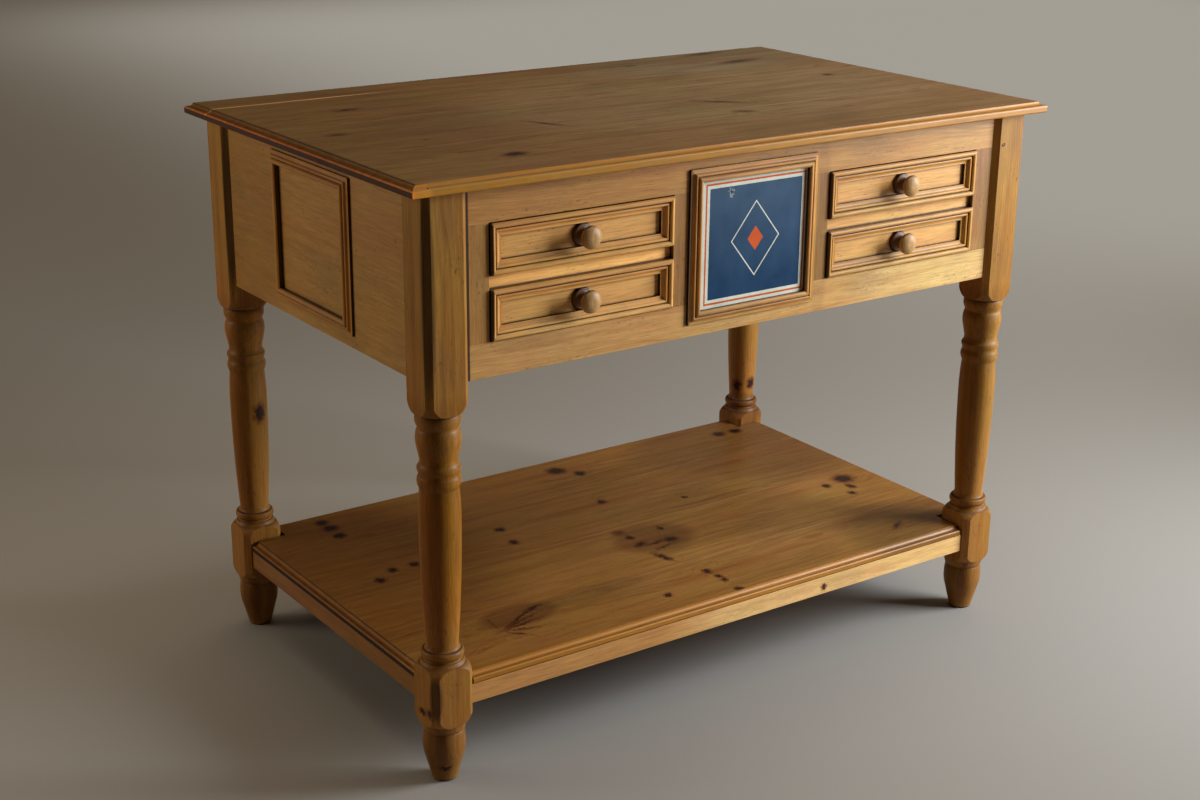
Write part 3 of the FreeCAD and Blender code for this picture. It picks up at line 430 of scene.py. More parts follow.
def dress(name, finish, grain, tone=1.0, knots=(), strips=False, patches=(), glued=0.0):
    """Gives a piece of the frame a pine of its own; glued is how strongly its long edges' joints show."""
    low, high = (Vector(corner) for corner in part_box(name))
    middle = (low + high) / 2
    shaded = finish._replace(colour=[*product(finish.colour, three(tone)), 1.0])
    half = (high - low) / 2 / MM
    frame_halves = (half.x if grain == "X" else half.y, half.z) if strips else None
    joint = ((high - low).y / 2, glued) if glued else None
    near = [patch for patch in patches if all(
        start / MM - reach < spot < stop / MM + reach
        for start, stop, spot, reach in zip(low, high, patch[:3], patch[3:6])
    )]
    draw = random.Random(name)
    paint(name, old_pine(f"waxed pine {name}", shaded, grain, middle, draw, knots, frame_halves, near, joint))


def bare_finish(roughness):
    """Planed pine that was never waxed, as inside the drawers."""
    colours, sizes = settings()
    return Finish(colours.inside, sizes.narrow_rings / MM, drift=14, figure=0.6, streaks=0.3, smears=0.1,
                  grime=0.8, worn=0.3, roughness=roughness)


TOP_Z = 914
top_knots = partial(level_knots, height=TOP_Z, depth=20)
TOP_KNOTS = {
    "top_board_1": top_knots(
        (-372, -261, 16, 9, 8, 0.85), (492, -97, 12, 6, 0, 0.6), (118, -172, 24, 14, -35, 0.55),
    ),
    "top_board_2": top_knots(
        (-425, -105, 10, 5, 0, 0.5), (-207, -92, 42, 8, -63, 0.55), (140, -85, 46, 8, -40, 0.6),
        (-519, -3, 26, 16, 0, 0.5), (476, 34, 9, 8, 0, 0.75),
    ),
    "top_board_3": top_knots((-411, 171, 26, 9, 4, 0.6), (435, 238, 55, 16, 8, 0.6)),
    "top_board_4": top_knots((233, 295, 14, 8, 0, 0.6), (434, 342, 55, 12, 4, 0.55)),
}
TOP_TONES = {"top_board_1": 1.0, "top_board_2": 0.97, "top_board_3": 1.02, "top_board_4": 0.95}
TOP_PATCHES = [
    # The left end in the shade, and the middle and the right in the window's light
    Patch(-520, 100, TOP_Z, 380, 420, 60, 0.84), Patch(150, 0, TOP_Z, 520, 330, 60, (1.1, 1.24, 1.58)),
    Patch(430, -30, TOP_Z, 300, 260, 60, 1.05), Patch(400, 270, TOP_Z, 330, 130, 60, (0.94, 1.1, 1.45)),
    # The front lip, rubbed pale along its middle, and the left end's lip with its dark cove and rim
    Patch(-160, -371, 903, 620, 8, 14, (1.0, 1.12, 1.35)),
    Patch(560, -371, 903, 240, 8, 14, (0.9, 0.94, 0.55)),
    Patch(-602, 0, 902, 9, 700, 10, (1.6, 1.0, 0.33)), Patch(-594, 0, 912, 11, 700, 8, (0.52, 0.46, 0.26)),
    # The let-in corner's lower half, and the back joint, open and pale at its left end
    Patch(-588, -371, 902, 22, 6, 12, (1.5, 1.4, 1.2)),
    Patch(-470, 289, TOP_Z, 230, 4.5, 20, (2.6, 2.6, 2.8)),
]


class WORKTABLE_OT_top(bpy.types.Operator):
    """Dresses the four glued boards of the top"""

    bl_idname = "worktable.top"
    bl_label = "Top boards"

    def execute(self, context):
        colours, sizes = settings()
        finish = Finish(colours.top, sizes.wide_rings / MM, drift=20, figure=0.6, streaks=0.5,
                        smears=0.35, grime=0.9, worn=0.5, roughness=0.4, front=1.0)
        for name, tone in TOP_TONES.items():
            dress(name, finish, "X", tone, TOP_KNOTS[name], patches=TOP_PATCHES, glued=0.75)
        return {"FINISHED"}


LEG_PATCHES = [
    # The feet, the shafts and the necks of all four, darker than the blocks: dirt from mopping and handling,
    # and painted shade
    Patch(0, 0, 40, 900, 900, 95, 0.75), Patch(0, 0, 400, 900, 900, 230, 0.85),
    Patch(0, 0, 585, 900, 900, 40, (0.82, 0.72, 0.5)), Patch(0, 0, 205, 900, 900, 26, (0.82, 0.76, 0.6)),
    # The front left leg: an amber shaft, painted shade down its outer corner, and a pale scrape on its foot
    Patch(-539, -319, 400, 60, 60, 230, (1.0, 0.84, 0.25)), Patch(-570, -350, 760, 13, 13, 190, 0.4),
    Patch(-570, -350, 147, 13, 13, 42, 0.4), Patch(-549, -340, 31, 5, 5, 2.5, 2.4),
    # The back left leg: painted window light on its shaft, and painted shade in a corner of its head
    Patch(-530, 305, 380, 34, 40, 260, (1.35, 1.4, 1.5)), Patch(-569, 289, 760, 10, 10, 190, 0.3),
    # The back right leg's block, in the shade
    Patch(539, 319, 190, 62, 62, 52, (0.62, 0.56, 0.6)),
]
# Painted shade, dark and amber, on the left side of each shaft and foot, away from the window
LEG_PAINTED_SHADE = {
    (-539, -319): (0.72, 0.64, 0.35), (539, -319): (0.76, 0.7, 0.45),
    (-539, 319): (0.66, 0.56, 0.3), (539, 319): (0.64, 0.64, 0.68),
}
for (leg_x, leg_y), shade in LEG_PAINTED_SHADE.items():
    LEG_PATCHES += [Patch(leg_x - 21, leg_y - 12, 410, 17, 26, 340, shade),
                    Patch(leg_x - 18, leg_y - 8, 60, 18, 30, 70, shade)]
LEG_KNOTS = {
    "leg_front_left": [
        Knot(-573, -338, 120, 9, 5, 5), Knot(-572, -318, 117, 9, 7, 4), Knot(-549, -340, 26, 7, 7, 3),
    ],
    "leg_front_right": [Knot(521, -354, 848, 1.8, 20, 2.2), Knot(504, -345, 335, 4, 12, 6)],
    "leg_back_left": [Knot(-533, 285, 395, 8, 20, 12)],
    "leg_back_right": [Knot(516, 307, 246, 6, 7, 9), Knot(542, 294, 249, 7, 12, 9)],
}


class WORKTABLE_OT_legs(bpy.types.Operator):
    """Dresses the four turned legs"""

    bl_idname = "worktable.legs"
    bl_label = "Legs"

    def execute(self, context):
        colours, sizes = settings()
        finish = Finish(colours.legs, sizes.narrow_rings / MM, drift=9, figure=0.5, streaks=0.45,
                        smears=0.25, grime=1.0, worn=0.5, roughness=0.46, shine=0.22)
        for side in SIDES:
            for end in ("front", "back"):
                name = f"leg_{end}_{side}"
                dress(name, finish, "Z", 1.0, LEG_KNOTS.get(name, ()), patches=LEG_PATCHES)
        return {"FINISHED"}


APRON_KNOTS = {
    "side_apron_left": [Knot(-564, -256, 813, 20, 4, 3, 0, 0.5), Knot(-564, -266, 742, 20, 5, 3, 0, 0.42)],
}
APRON_GRAINS = {
    "front_top_rail": "X", "front_bottom_rail": "X", "back_apron": "X", "front_end_stile_left": "Z",
    "front_end_stile_right": "Z", "front_centre_board": "Z", "side_apron_left": "Y", "side_apron_right": "Y",
}
APRON_TONES = {
    "front_bottom_rail": (1.22, 1.36, 1.75), "front_centre_board": 0.72, "front_end_stile_left": 0.9,
    "front_end_stile_right": (0.6, 0.56, 0.5), "side_apron_left": (0.9, 0.94, 0.92),
}
# The black line beside the front left leg, a darker place beside the right drawer, painted window light on
# the right of the bottom rail, and the left apron darker towards its back
APRON_PATCHES = [
    Patch(-503, -345, 760, 3.6, 14, 400, 0.12), Patch(137, -345, 750, 22, 12, 190, 0.84),
    Patch(420, -345, 645, 250, 12, 60, (1.1, 1.28, 1.5)),
    Patch(-564, 260, 760, 30, 190, 260, (0.8, 0.76, 0.6)),
]


class WORKTABLE_OT_carcase(bpy.types.Operator):
    """Dresses the rails, stiles and aprons round the drawers"""

    bl_idname = "worktable.carcase"
    bl_label = "Rails, stiles and aprons"

    def execute(self, context):
        colours, sizes = settings()
        front = Finish(colours.aprons, sizes.wide_rings / MM, drift=14, figure=0.36, streaks=0.38,
                       smears=0.3, grime=0.95, worn=0.4, roughness=0.42)
        side = front._replace(figure=0.22, streaks=0.25)
        for name, grain in APRON_GRAINS.items():
            tone, knots = APRON_TONES.get(name, 1.0), APRON_KNOTS.get(name, ())
            dress(name, side if grain == "Y" else front, grain, tone, knots, patches=APRON_PATCHES)
        return {"FINISHED"}


# Painted shade, with some dirt, down the left sides of the frames, and the left drawer's lowest strip, rubbed
# pale
MOULDING_PATCHES = [
    Patch(-467, -344, 758, 5.5, 30, 170, 0.1), Patch(151, -344, 758, 4.5, 30, 170, 0.2),
    Patch(-123, -350, 758, 4, 30, 250, 0.25), Patch(-309, -348, 681, 210, 30, 14, (1.15, 1.25, 1.6)),
]
DRAWER_MOULDING_TONES = {"left": (1.33, 1.36, 1.55), "right": (1.04, 1.08, 1.08)}


class WORKTABLE_OT_mouldings(bpy.types.Operator):
    """Dresses the mitred mouldings round the plaque, on the ends and on the drawers"""

    bl_idname = "worktable.mouldings"
    bl_label = "Mouldings"

    def execute(self, context):
        colours, sizes = settings()
        finish = Finish(colours.mouldings, sizes.narrow_rings / MM, drift=12, figure=0.4, streaks=0.5,
                        smears=0.3, grime=0.72, worn=0.5, roughness=0.46)
        dress("centre_moulding", finish, "X", strips=True, patches=MOULDING_PATCHES)
        for side, tone in DRAWER_MOULDING_TONES.items():
            dress(f"side_moulding_{side}", finish, "Y", (0.86, 0.8, 0.54), strips=True)
            for level in ("upper", "lower"):
                name = f"drawer_{side}_moulding_{level}"
                dress(name, finish, "X", tone, strips=True, patches=MOULDING_PATCHES)
        return {"FINISHED"}


def rusted_iron():
    """Drawn iron under a skin of rust: dark, dull and a little mottled."""
    colours, _ = settings()
    material, shader, n = new_material("rusted iron")
    spots = n("MapRange", n("TexNoise", n("TexCoord", out="Object"), 900.0, 2.0), 0.4, 0.6, 0.0, 1.0)
    rust = n("Mix", spots, colours.iron, colours.rust, data_type="RGBA")
    set_inputs(shader, {"Base Color": rust, "Metallic": 0.3, "Roughness": 0.75})
    return material


def zinc_steel():
    """Zinc plated steel: dull bright metal, a little streaked where the driver turned."""
    colours, _ = settings()
    material, shader, n = new_material("zinc plated steel")
    cloud = n("TexNoise", n("TexCoord", out="Object"), 700.0, 3.0)
    dull = n("MapRange", cloud, 0.3, 0.7, 0.28, 0.5)
    tone = n("Mix", cloud, product(colours.steel, (0.75, 0.75, 0.78, 1)), colours.steel, data_type="RGBA")
    set_inputs(shader, {"Base Color": tone, "Roughness": dull, "Metallic": 1.0})
    return material


def add_piece(name, shape, material, body):
    """Makes a new piece of a bmesh that stands in its place, and lets it ride on a body."""
    mesh = bpy.data.meshes.new(name)
    shape.to_mesh(mesh)
    shape.free()
    mesh.materials.append(material)
    piece = bpy.data.objects.new(name, mesh)
    bpy.context.scene.collection.objects.link(piece)
    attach(piece, body)
    return piece


def pin_head(shape, place, outward, radius):
    """Adds the low domed head of a pin, half sunk in the wood."""
    turn = Vector((0, 0, 1)).rotation_difference(Vector(outward)).to_matrix().to_4x4()
    head = Matrix.Translation(Vector(place) * MM) @ turn @ Matrix.Diagonal((1, 1, 0.4, 1))
    bmesh.ops.create_uvsphere(shape, u_segments=12, v_segments=6, radius=radius, matrix=head)


class WORKTABLE_OT_pins(bpy.types.Operator):
    """Drives panel pins into the quirks of the mouldings"""

    bl_idname = "worktable.pins"
    bl_label = "Panel pins"

    @staticmethod
    def pin_frame(shape, name, outward, quirk, depth):
        """Pins one frame: two pins in each long strip, and one or two in each short one."""
        _, sizes = settings()
        low, high = (Vector(corner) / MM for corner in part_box(name))
        middle, half = (low + high) / 2, (high - low) / 2
        out = Vector(outward)
        along = Vector((abs(out.y), abs(out.x), 0))
        reach, rise = half.dot(along) - quirk, half.z - quirk
        face = middle + out * (abs(half.dot(out)) - depth)
        spots = [(reach * 0.7 * a, rise * b) for a in (-1, 1) for b in (-1, 1)]
        heights = (-0.5, 0.5) if rise > reach / 2 else (0,)
        spots += [(reach * a, rise * b) for a in (-1, 1) for b in heights]
        for side, height in spots:
            pin_head(shape, face + along * side + Vector((0, 0, height)), outward, sizes.pin_radius)

    def execute(self, context):
        iron = rusted_iron()
        _, sizes = settings()
        # How far the pins stand in from each frame's outside, and behind its face
        panel_quirk, panel_depth = 11.4, 3.7
        drawer_quirk, drawer_depth = 8.6, 4.9
        shape = bmesh.new()
        self.pin_frame(shape, "centre_moulding", (0, -1, 0), panel_quirk, panel_depth)
        self.pin_frame(shape, "side_moulding_left", (-1, 0, 0), panel_quirk, panel_depth)
        self.pin_frame(shape, "side_moulding_right", (1, 0, 0), panel_quirk, panel_depth)
        # Two nails hold the let-in piece at the top's corner
        pin_head(shape, (-575.5, -368.9, 909.2), (0, -0.75, 0.66), sizes.pin_radius * 1.4)
        pin_head(shape, (-573.5, -370.4, 901.5), (0, -1, 0), sizes.pin_radius * 1.3)
        add_piece("panel_pins", shape, iron, "table")
        for side in SIDES:
            shape = bmesh.new()
            for level in ("upper", "lower"):
                name = f"drawer_{side}_moulding_{level}"
                self.pin_frame(shape, name, (0, -1, 0), drawer_quirk, drawer_depth)
            add_piece(f"drawer_{side}_panel_pins", shape, iron, f"drawer_{side}")
        return {"FINISHED"}


class WORKTABLE_OT_corner(bpy.types.Operator):
    """Lets a small piece of new wood into the cove at the top's front left corner"""

    bl_idname = "worktable.corner"
    bl_label = "Let-in corner piece"

    def execute(self, context):
        colours, _ = settings()
        right_end, length = -574.0, 30.0
        corner = Vector((-600.0, -371.0, 0.0)) * MM
        section = ((-370.6, 904.0), (-370.5, 907.4), (-367.0, 911.6), (-360.8, 913.6), (-360.0, 905.0))
        shape = bmesh.new()
        end = shape.faces.new([shape.verts.new(Vector((right_end, y, z)) * MM) for y, z in section])
        grown = bmesh.ops.extrude_face_region(shape, geom=[end])["geom"]
        moved = [v for v in grown if isinstance(v, bmesh.types.BMVert)]
        bmesh.ops.translate(shape, verts=moved, vec=(-length * MM, 0, 0))
        # The mitre with the end's cove
        every, outward = [*shape.verts, *shape.edges, *shape.faces], (-1, 1, 0)
        cut = bmesh.ops.bisect_plane(shape, geom=every, plane_co=corner, plane_no=outward, clear_outer=True)
        bmesh.ops.holes_fill(shape, edges=[e for e in cut["geom_cut"] if isinstance(e, bmesh.types.BMEdge)])
        bmesh.ops.recalc_face_normals(shape, faces=shape.faces)
        bmesh.ops.subdivide_edges(shape, edges=shape.edges, cuts=3, use_grid_fill=True)
        # Dented by the chisel, by up to about 0.3 mm
        noise.seed_set(1)
        dents_per_metre, dent = 350, 0.3 * MM
        for v in shape.verts:
            v.co += noise.noise_vector(v.co * dents_per_metre) * dent
        wood = Finish(colours.front_edge, rings=3.0, drift=6, figure=0.35, streaks=0.4, smears=0.3, grime=0.6,
                      worn=0.2, roughness=0.6)
        split = old_pine("split pine", wood, "X", corner, random.Random("corner"))
        add_piece("top_corner_piece", shape, split, "table")
        return {"FINISHED"}


# The whole of the left drawer's front, and on both the strip between the mouldings, rubbed pale by hands
DRAWER_PATCHES = [
    Patch(-309, -337, 758.5, 260, 20, 160, (1.1, 1.09, 1.05)), Patch(-309, -337, 758.5, 210, 20, 14, 1.7),
    Patch(309, -337, 758.5, 210, 20, 14, 1.15),
]


class WORKTABLE_OT_drawers(bpy.types.Operator):
    """Dresses the drawer fronts in waxed pine and the boxes behind them in bare pine"""

    bl_idname = "worktable.drawers"
    bl_label = "Drawers"

    def execute(self, context):
        colours, sizes = settings()
        front = Finish(colours.drawers, sizes.narrow_rings / MM, drift=9, figure=0.3, streaks=0.28,
                       smears=0.2, grime=0.95, worn=0.4, roughness=0.42)
        bare = bare_finish(roughness=0.62)
        for side in SIDES:
            dress(f"drawer_{side}_front", front, "X", patches=DRAWER_PATCHES)
            for part in ("side_inner", "side_outer"):
                dress(f"drawer_{side}_{part}", bare, "Y")
            for part in ("back", "bottom"):
                dress(f"drawer_{side}_{part}", bare, "X")
        return {"FINISHED"}


# The foot and the neck of every knob, dark with dirt and painted shade under the knob's head
KNOB_PATCHES = [Patch(0, -342, 758, 900, 24, 900, (0.28, 0.2, 0.12))]


class WORKTABLE_OT_knobs(bpy.types.Operator):
    """Dresses the four turned knobs"""

    bl_idname = "worktable.knobs"
    bl_label = "Knobs"

    def execute(self, context):
        colours, sizes = settings()
        finish = Finish(colours.knobs, sizes.narrow_rings / MM, drift=6, figure=0.25, streaks=0.2,
                        smears=0.1, grime=0.9, worn=0.2, roughness=0.5)
        for side in SIDES:
            for level in ("upper", "lower"):
                dress(f"drawer_{side}_knob_{level}", finish, "Z", patches=KNOB_PATCHES)
        return {"FINISHED"}


class WORKTABLE_OT_inside(bpy.types.Operator):
    """Dresses the runners, guides, kickers, stops and screws that the carcase hides"""

    bl_idname = "worktable.inside"
    bl_label = "Inside pieces"

    def execute(self, context):
        bare = bare_finish(roughness=0.65)
        along = old_pine("bare pine inside", bare, "Y", (0, 0, 0.7), random.Random("inside"))
        for side in SIDES:
            for edge in ("inner", "outer"):
                for part in ("runner", "guide", "kicker"):
                    paint(f"drawer_{part}_{side}_{edge}", along)
        paint("drawer_stops", along)
        paint("top_screws", zinc_steel())
        return {"FINISHED"}


# Shelf boards, front to back, with their knots: most are small dead branches about 8 mm across
SHELF_Z = 168
shelf_knots = partial(level_knots, height=SHELF_Z, depth=9)
SHELF_KNOTS = {
    "shelf_board_1": shelf_knots(
        # A branch cut along its length: veins that fan out from (-393, -250) up to the joint
        (-343, -220, 58, 3.4, 28, 0.6), (-302, -199, 20, 6, 27, 0.68), (-346, -231, 52, 2.8, 17, 0.6),
        (-355, -242, 40, 3.2, 6, 0.62), (-361, -256, 36, 2.8, -17, 0.6), (-374, -266, 28, 2.8, -48, 0.6),
        (-390, -216, 30, 2.6, 85, 0.52),
        # A row of dead branches near the middle, and two marks farther out
        (12, -244, 6, 7), (16, -271, 5, 6), (16, -287, 4.5, 5), (-98, -283, 6, 5), (13, -329, 6, 6),
        (413, -276, 18, 6, 30, 0.7),
    ),
    "shelf_board_2": shelf_knots(
        # A cluster in a dark stain, then single knots to its right
        (-13, -59, 7, 9, 0, 0.7), (-15, -94, 13, 7, 20, 0.75), (14, -101, 34, 7, 5, 0.6),
        (42, -103, 12, 9, 0, 0.85), (-13, -158, 19, 6, -77, 0.8), (56, -54, 5, 7, 0, 0.7),
        (20, -122, 40, 4, 12, 0.55), (-18, -31, 16, 14, 0, 0.55),
        (485, -54, 15, 14), (433, -65, 6, 7), (471, -91, 6, 7), (451, -117, 5.5, 6),
    ),
    "shelf_board_3": shelf_knots(
        (41, 102, 6.3, 6.8), (-180, 96, 7, 6.8), (-190, 36, 6.3, 6.8), (-378, 49, 7, 6.8),
        (-419, 49, 6.3, 6.8), (-456, 24, 7, 7.65), (180, 38, 4.2, 4.25),
    ),
    "shelf_board_4": shelf_knots(
        (58, 277, 12.6, 11.9), (88, 242, 8.4, 8.5), (-425, 226, 8.4, 8.5), (-423, 265, 9.8, 10.2),
        (-425, 294, 8.4, 8.5), (442, 267, 9.8, 8.5), (480, 263, 9.8, 8.5),
    ),
}
SHELF_TONES = {"shelf_board_1": 1.0, "shelf_board_2": 1.05, "shelf_board_3": 0.97, "shelf_board_4": 0.92}
SHELF_PATCHES = [
    # The shaded left end and back right, and the middle in the light
    Patch(-560, 100, SHELF_Z, 420, 420, 60, (0.62, 0.54, 0.4)),
    Patch(470, 200, SHELF_Z, 300, 260, 60, (0.7, 0.67, 0.8)), Patch(450, -300, SHELF_Z, 190, 140, 60, 0.66),
    Patch(200, -60, SHELF_Z, 340, 220, 60, (1.18, 1.24, 1.45)),
    # Stains round the two big knots, painted window light in front of them, and a painted highlight along the
    # front edge
    Patch(22, -84, SHELF_Z, 95, 75, 60, (0.62, 0.56, 0.5)),
    Patch(-338, -212, SHELF_Z, 86, 46, 60, (0.62, 0.52, 0.45)), Patch(-215, -205, SHELF_Z, 150, 26, 60, 0.75),
    Patch(120, -240, SHELF_Z, 330, 120, 60, (1.12, 1.16, 1.3)),
    Patch(140, -351, 163, 500, 6, 13, (1.4, 1.7, 3.2)),
    # A little more light on the whole of it
    Patch(0, 0, SHELF_Z, 700, 500, 60, (1.08, 1.07, 1.15)),
]
# Each rail's tone: the left rail's is painted shade, on the side away from the window
RAIL_TONES = {"front": 0.95, "back": 0.8, "left": (0.47, 0.4, 0.24), "right": 0.8}
# Painted window light on the right of the front rail
RAIL_PATCHES = [Patch(250, -343, 136, 420, 40, 60, (1.42, 1.72, 2.3))]
RAIL_KNOTS = {"shelf_rail_front": [Knot(184, -343, 133, 5, 12, 4)]}


class WORKTABLE_OT_shelf(bpy.types.Operator):
    """Dresses the four glued boards of the shelf and the rails under them"""

    bl_idname = "worktable.shelf"
    bl_label = "Shelf"

    def execute(self, context):
        colours, sizes = settings()
        finish = Finish(colours.shelf, sizes.wide_rings / MM, drift=20, figure=0.5, streaks=0.5,
                        smears=0.2, grime=0.7, worn=0.6, roughness=0.38, front=0.85)
        for name, tone in SHELF_TONES.items():
            dress(name, finish, "X", tone, SHELF_KNOTS[name], patches=SHELF_PATCHES, glued=0.22)
        rails = Finish(colours.rails, sizes.wide_rings / MM, drift=12, figure=0.3, streaks=0.3,
                       smears=0.2, grime=0.6, worn=0.5, roughness=0.42)
        for edge, grain in {"front": "X", "back": "X", "left": "Y", "right": "Y"}.items():
            name = f"shelf_rail_{edge}"
            patches = RAIL_PATCHES if edge == "front" else ()
            dress(name, rails, grain, RAIL_TONES[edge], RAIL_KNOTS.get(name, ()), patches=patches)
        return {"FINISHED"}


def enamel_plaque():
    """Painted tin under varnish: flat colour bands, a soft gloss, rubbed and chipped in a few places."""
    colours, sizes = settings()
    low, high = (Vector(corner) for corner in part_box("centre_plaque"))
    middle, half = (low + high) / 2, (high - low) / 2 / MM
    material, shader, n = new_material("enamel paint on tin")
    place = n("TexCoord", out="Object")
    face = n("Mapping", place, middle, (0, 0, 0), (MM, MM, MM), vector_type="TEXTURE")
    # The bands stand a little to the right of the plaque's middle, and start inside its edges
    aside, trim = 3.5, 1.0
    x = n("Math", n("SeparateXYZ", face, out="X"), aside, operation="SUBTRACT")
    x = n("Math", x, operation="ABSOLUTE")
    height = n("SeparateXYZ", face, out="Z")
    z = n("Math", height, operation="ABSOLUTE")
    from_side = n("Math", half.x - trim, x, operation="SUBTRACT")
    from_edge = n("Math", from_side, n("Math", half.z, z, operation="SUBTRACT"), operation="MINIMUM")
    ripple = n("TexNoise", face, 0.3, 2.0, normalize=False)
    wavy = n("Math", ripple, 0.25, from_edge, operation="MULTIPLY_ADD")
    border, line = sizes.border / MM, sizes.border_line / MM
    field_edge = border * 2 + line

    def beyond(distance):
        return n("MapRange", wavy, distance - 0.15, distance + 0.15, 0.0, 1.0)

    paint_colour = n("Mix", beyond(border), colours.cream, colours.orange, data_type="RGBA")
    paint_colour = n("Mix", beyond(border + line), paint_colour, colours.cream, data_type="RGBA")
    # The field is painted paler towards its top: painted light
    lit_towards_top = n("MapRange", height, -70, 95, 0.0, 0.6)
    field = n("Mix", lit_towards_top, colours.navy, colours.lit_navy, data_type="RGBA")
    paint_colour = n("Mix", beyond(field_edge), paint_colour, field, data_type="RGBA")
    # A plain lozenge in outline, with a small one inside it, stands in the middle
    lozenge, outline, small_lozenge, blur = 46.0, 1.0, 15.0, 0.3
    slant = n("Math", x, n("Math", z, 0.8, operation="MULTIPLY"), operation="ADD")
    ring = n("Math", n("Math", slant, lozenge, operation="SUBTRACT"), operation="ABSOLUTE")
    ring = n("MapRange", ring, outline + blur, outline, 0.0, 1.0)
    paint_colour = n("Mix", ring, paint_colour, colours.cream, data_type="RGBA")
    middle_spot = n("MapRange", slant, small_lozenge + blur, small_lozenge, 0.0, 1.0)
    paint_colour = n("Mix", middle_spot, paint_colour, colours.orange, data_type="RGBA")
    age = n("TexNoise", face, 0.02, 4.0, 0.65)
    paint_colour = n("HueSaturation", 0.5, 1.0, n("MapRange", age, 0.3, 0.7, 0.86, 1.12), 1.0, paint_colour)
    # A chip out of the paint near the top's left corner
    chip_place, chip_reach = (-45.0, 0.0, 75.0), (3.2, 30, 5.6)
    ragged = n("TexNoise", face, 0.25, 3.0, out="Color", normalize=False)
    frayed = n("VectorMath", ragged, (5, 5, 5), face, operation="MULTIPLY_ADD")
    chip = n("Mapping", frayed, chip_place, (0, 0, 0), chip_reach, vector_type="TEXTURE")
    chip = n("VectorMath", chip, operation="LENGTH")
    bare = n("MapRange", chip, 1.1, 0.9, 0.0, 1.0)
    from_rim = n("Math", n("Math", chip, 1.0, operation="SUBTRACT"), operation="ABSOLUTE")
    worn_rim = n("MapRange", from_rim, 0.22, 0.1, 0.0, 0.8)
    paint_colour = n("Mix", bare, paint_colour, colours.primer, data_type="RGBA")
    paint_colour = n("Mix", worn_rim, paint_colour, colours.bare_tin, data_type="RGBA")
    relief = {"Strength": 0.4, "Distance": 0.3 * MM, "Height": bare}
    set_inputs(shader, {
        "Base Color": paint_colour, "Roughness": n("MapRange", age, 0.3, 0.7, 0.36, 0.5),
        "Specular IOR Level": 0.25, "Normal": n("Bump", named=relief, invert=True),
    })
    return material


class WORKTABLE_OT_plaque(bpy.types.Operator):
    """Paints the plaque between the drawers"""

    bl_idname = "worktable.plaque"
    bl_label = "Plaque"

    def execute(self, context):
        paint("centre_plaque", enamel_plaque())
        return {"FINISHED"}


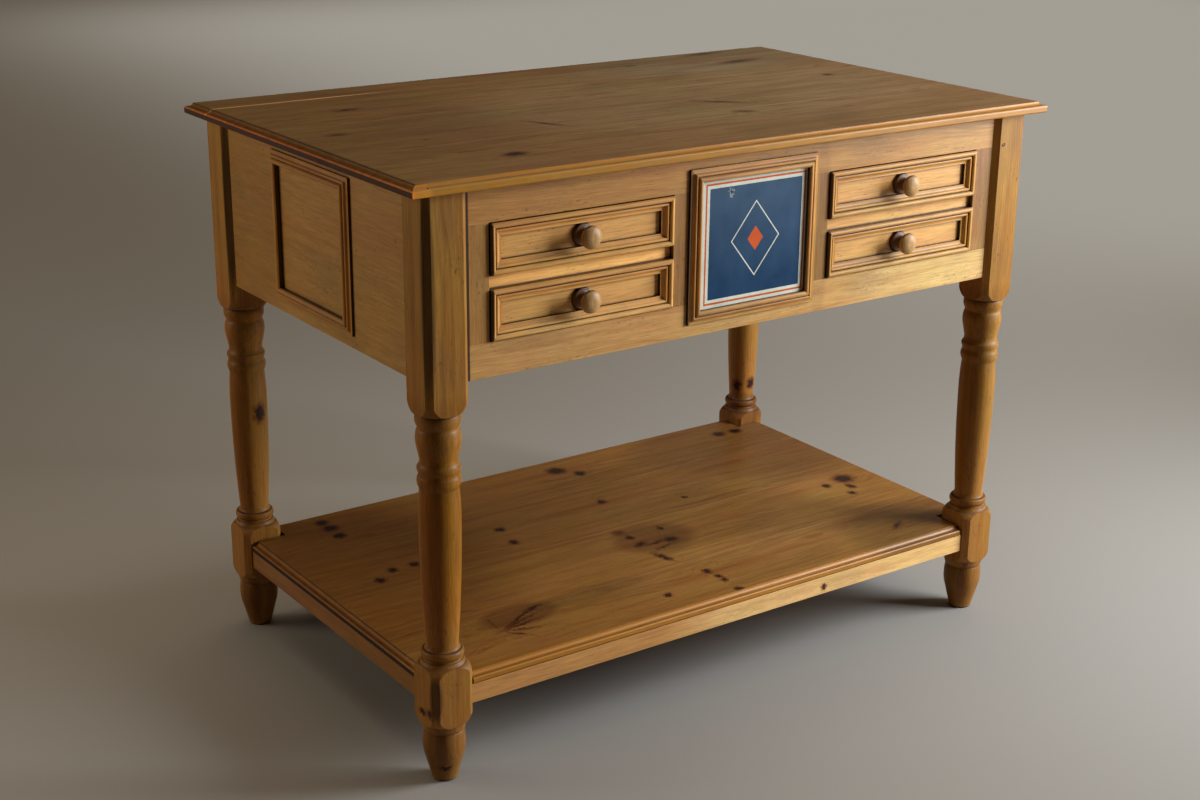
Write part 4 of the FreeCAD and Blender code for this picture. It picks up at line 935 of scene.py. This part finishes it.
class WORKTABLE_OT_stage(bpy.types.Operator):
    """Adds the pale floor, the soft light and the camera"""

    bl_idname = "worktable.stage"
    bl_label = "Stage"

    @staticmethod
    def softbox(name, place, aim, size, watts, colour, spread):
        """Adds an area light that the camera doesn't see; its spread is in degrees."""
        light = bpy.data.lights.new(name, "AREA")
        light.shape = "RECTANGLE"
        light.size, light.size_y = size
        light.energy = watts
        light.color = colour
        light.spread = math.radians(spread)
        lamp = bpy.data.objects.new(name, light)
        lamp.location = place
        lamp.rotation_euler = (Vector(aim) - lamp.location).to_track_quat("-Z", "Y").to_euler()
        lamp.visible_camera = False
        bpy.context.scene.collection.objects.link(lamp)

    def execute(self, context):
        scene = context.scene
        colours, _ = settings()
        shape = bmesh.new()
        bmesh.ops.create_grid(shape, x_segments=1, y_segments=1, size=30)
        mesh = bpy.data.meshes.new("floor")
        shape.to_mesh(mesh)
        shape.free()
        floor = bpy.data.objects.new("floor", mesh)
        scene.collection.objects.link(floor)
        matt, shader, _ = new_material("matt floor paint")
        set_inputs(shader, {"Base Color": colours.floor, "Roughness": 0.7})
        mesh.materials.append(matt)

        world = bpy.data.worlds.new("studio")
        world.use_nodes = True
        # A dim room with a broad soft light overhead and a pale wall off to the right, behind the table
        n = partial(add_node, world.node_tree)
        glow = 0.02
        for direction, wide, strength in (((0.1, 0.08, 0.99), 0.78, 1.97), ((0.8, 0.52, 0.3), 0.86, 0.35)):
            facing = n("VectorMath", n("TexCoord", out="Generated"), direction, operation="DOT_PRODUCT")
            lobe = n("MapRange", facing, wide, 1.0, 0.0, strength, interpolation_type="SMOOTHSTEP")
            glow = n("Math", lobe, glow, operation="ADD")
        set_inputs(world.node_tree.nodes["Background"], {"Color": colours.sky, "Strength": glow})
        scene.world = world
        scene.view_settings.view_transform = "Standard"

        # A window on the right, a faint warm fill at the back, and a light for the floor behind the table
        self.softbox("window_softbox", (1.85, -1.35, 1.3), (0.0, 0.0, 0.6), (1.0, 1.3), 41,
                     (0.93, 1.0, 1.1), 130)
        self.softbox("back_softbox", (-2.3, 1.3, 1.3), (-0.3, 0.0, 0.7), (1.2, 1.2), 5.2,
                     (1.0, 0.9, 0.75), 100)
        self.softbox("floor_softbox", (5.6, 4.2, 4.0), (5.6, 4.2001, 0.0), (7.6, 8.4), 158,
                     (0.93, 0.99, 1.04), 50)

        # The photograph's camera, fitted to points and edges of the table
        lens = bpy.data.cameras.new("camera")
        lens.sensor_width = 36
        lens.lens = 56.108
        camera = bpy.data.objects.new("camera", lens)
        camera.location = (-1.77281, -2.46820, 1.44694)
        camera.rotation_euler = [math.radians(a) for a in (70.9936, -0.5277, -34.9369)]
        scene.collection.objects.link(camera)
        scene.camera = camera
        return {"FINISHED"}


OPERATORS = (
    WORKTABLE_OT_stage,
    WORKTABLE_OT_top,
    WORKTABLE_OT_legs,
    WORKTABLE_OT_carcase,
    WORKTABLE_OT_mouldings,
    WORKTABLE_OT_pins,
    WORKTABLE_OT_corner,
    WORKTABLE_OT_plaque,
    WORKTABLE_OT_drawers,
    WORKTABLE_OT_knobs,
    WORKTABLE_OT_inside,
    WORKTABLE_OT_shelf,
)


class WORKTABLE_PT_panel(bpy.types.Panel):
    """Lists the work table's steps"""

    bl_idname = "WORKTABLE_PT_panel"
    bl_label = "Work Table"
    bl_space_type = "VIEW_3D"
    bl_region_type = "UI"
    bl_category = "Work Table"

    def draw(self, context):
        for step in OPERATORS:
            self.layout.operator(step.bl_idname)


CLASSES = (WorkTableColours, WorkTableSizes, *OPERATORS, WORKTABLE_PT_panel)


def register():
    for kind in CLASSES:
        bpy.utils.register_class(kind)
    bpy.types.Scene.work_table_colours = bpy.props.PointerProperty(type=WorkTableColours)
    bpy.types.Scene.work_table_sizes = bpy.props.PointerProperty(type=WorkTableSizes)


def unregister():
    del bpy.types.Scene.work_table_sizes
    del bpy.types.Scene.work_table_colours
    for kind in reversed(CLASSES):
        bpy.utils.unregister_class(kind)


def main():
    register()
    for step in OPERATORS:
        group, name = step.bl_idname.split(".")
        getattr(getattr(bpy.ops, group), name)()


if __name__ == "__main__":
    main()
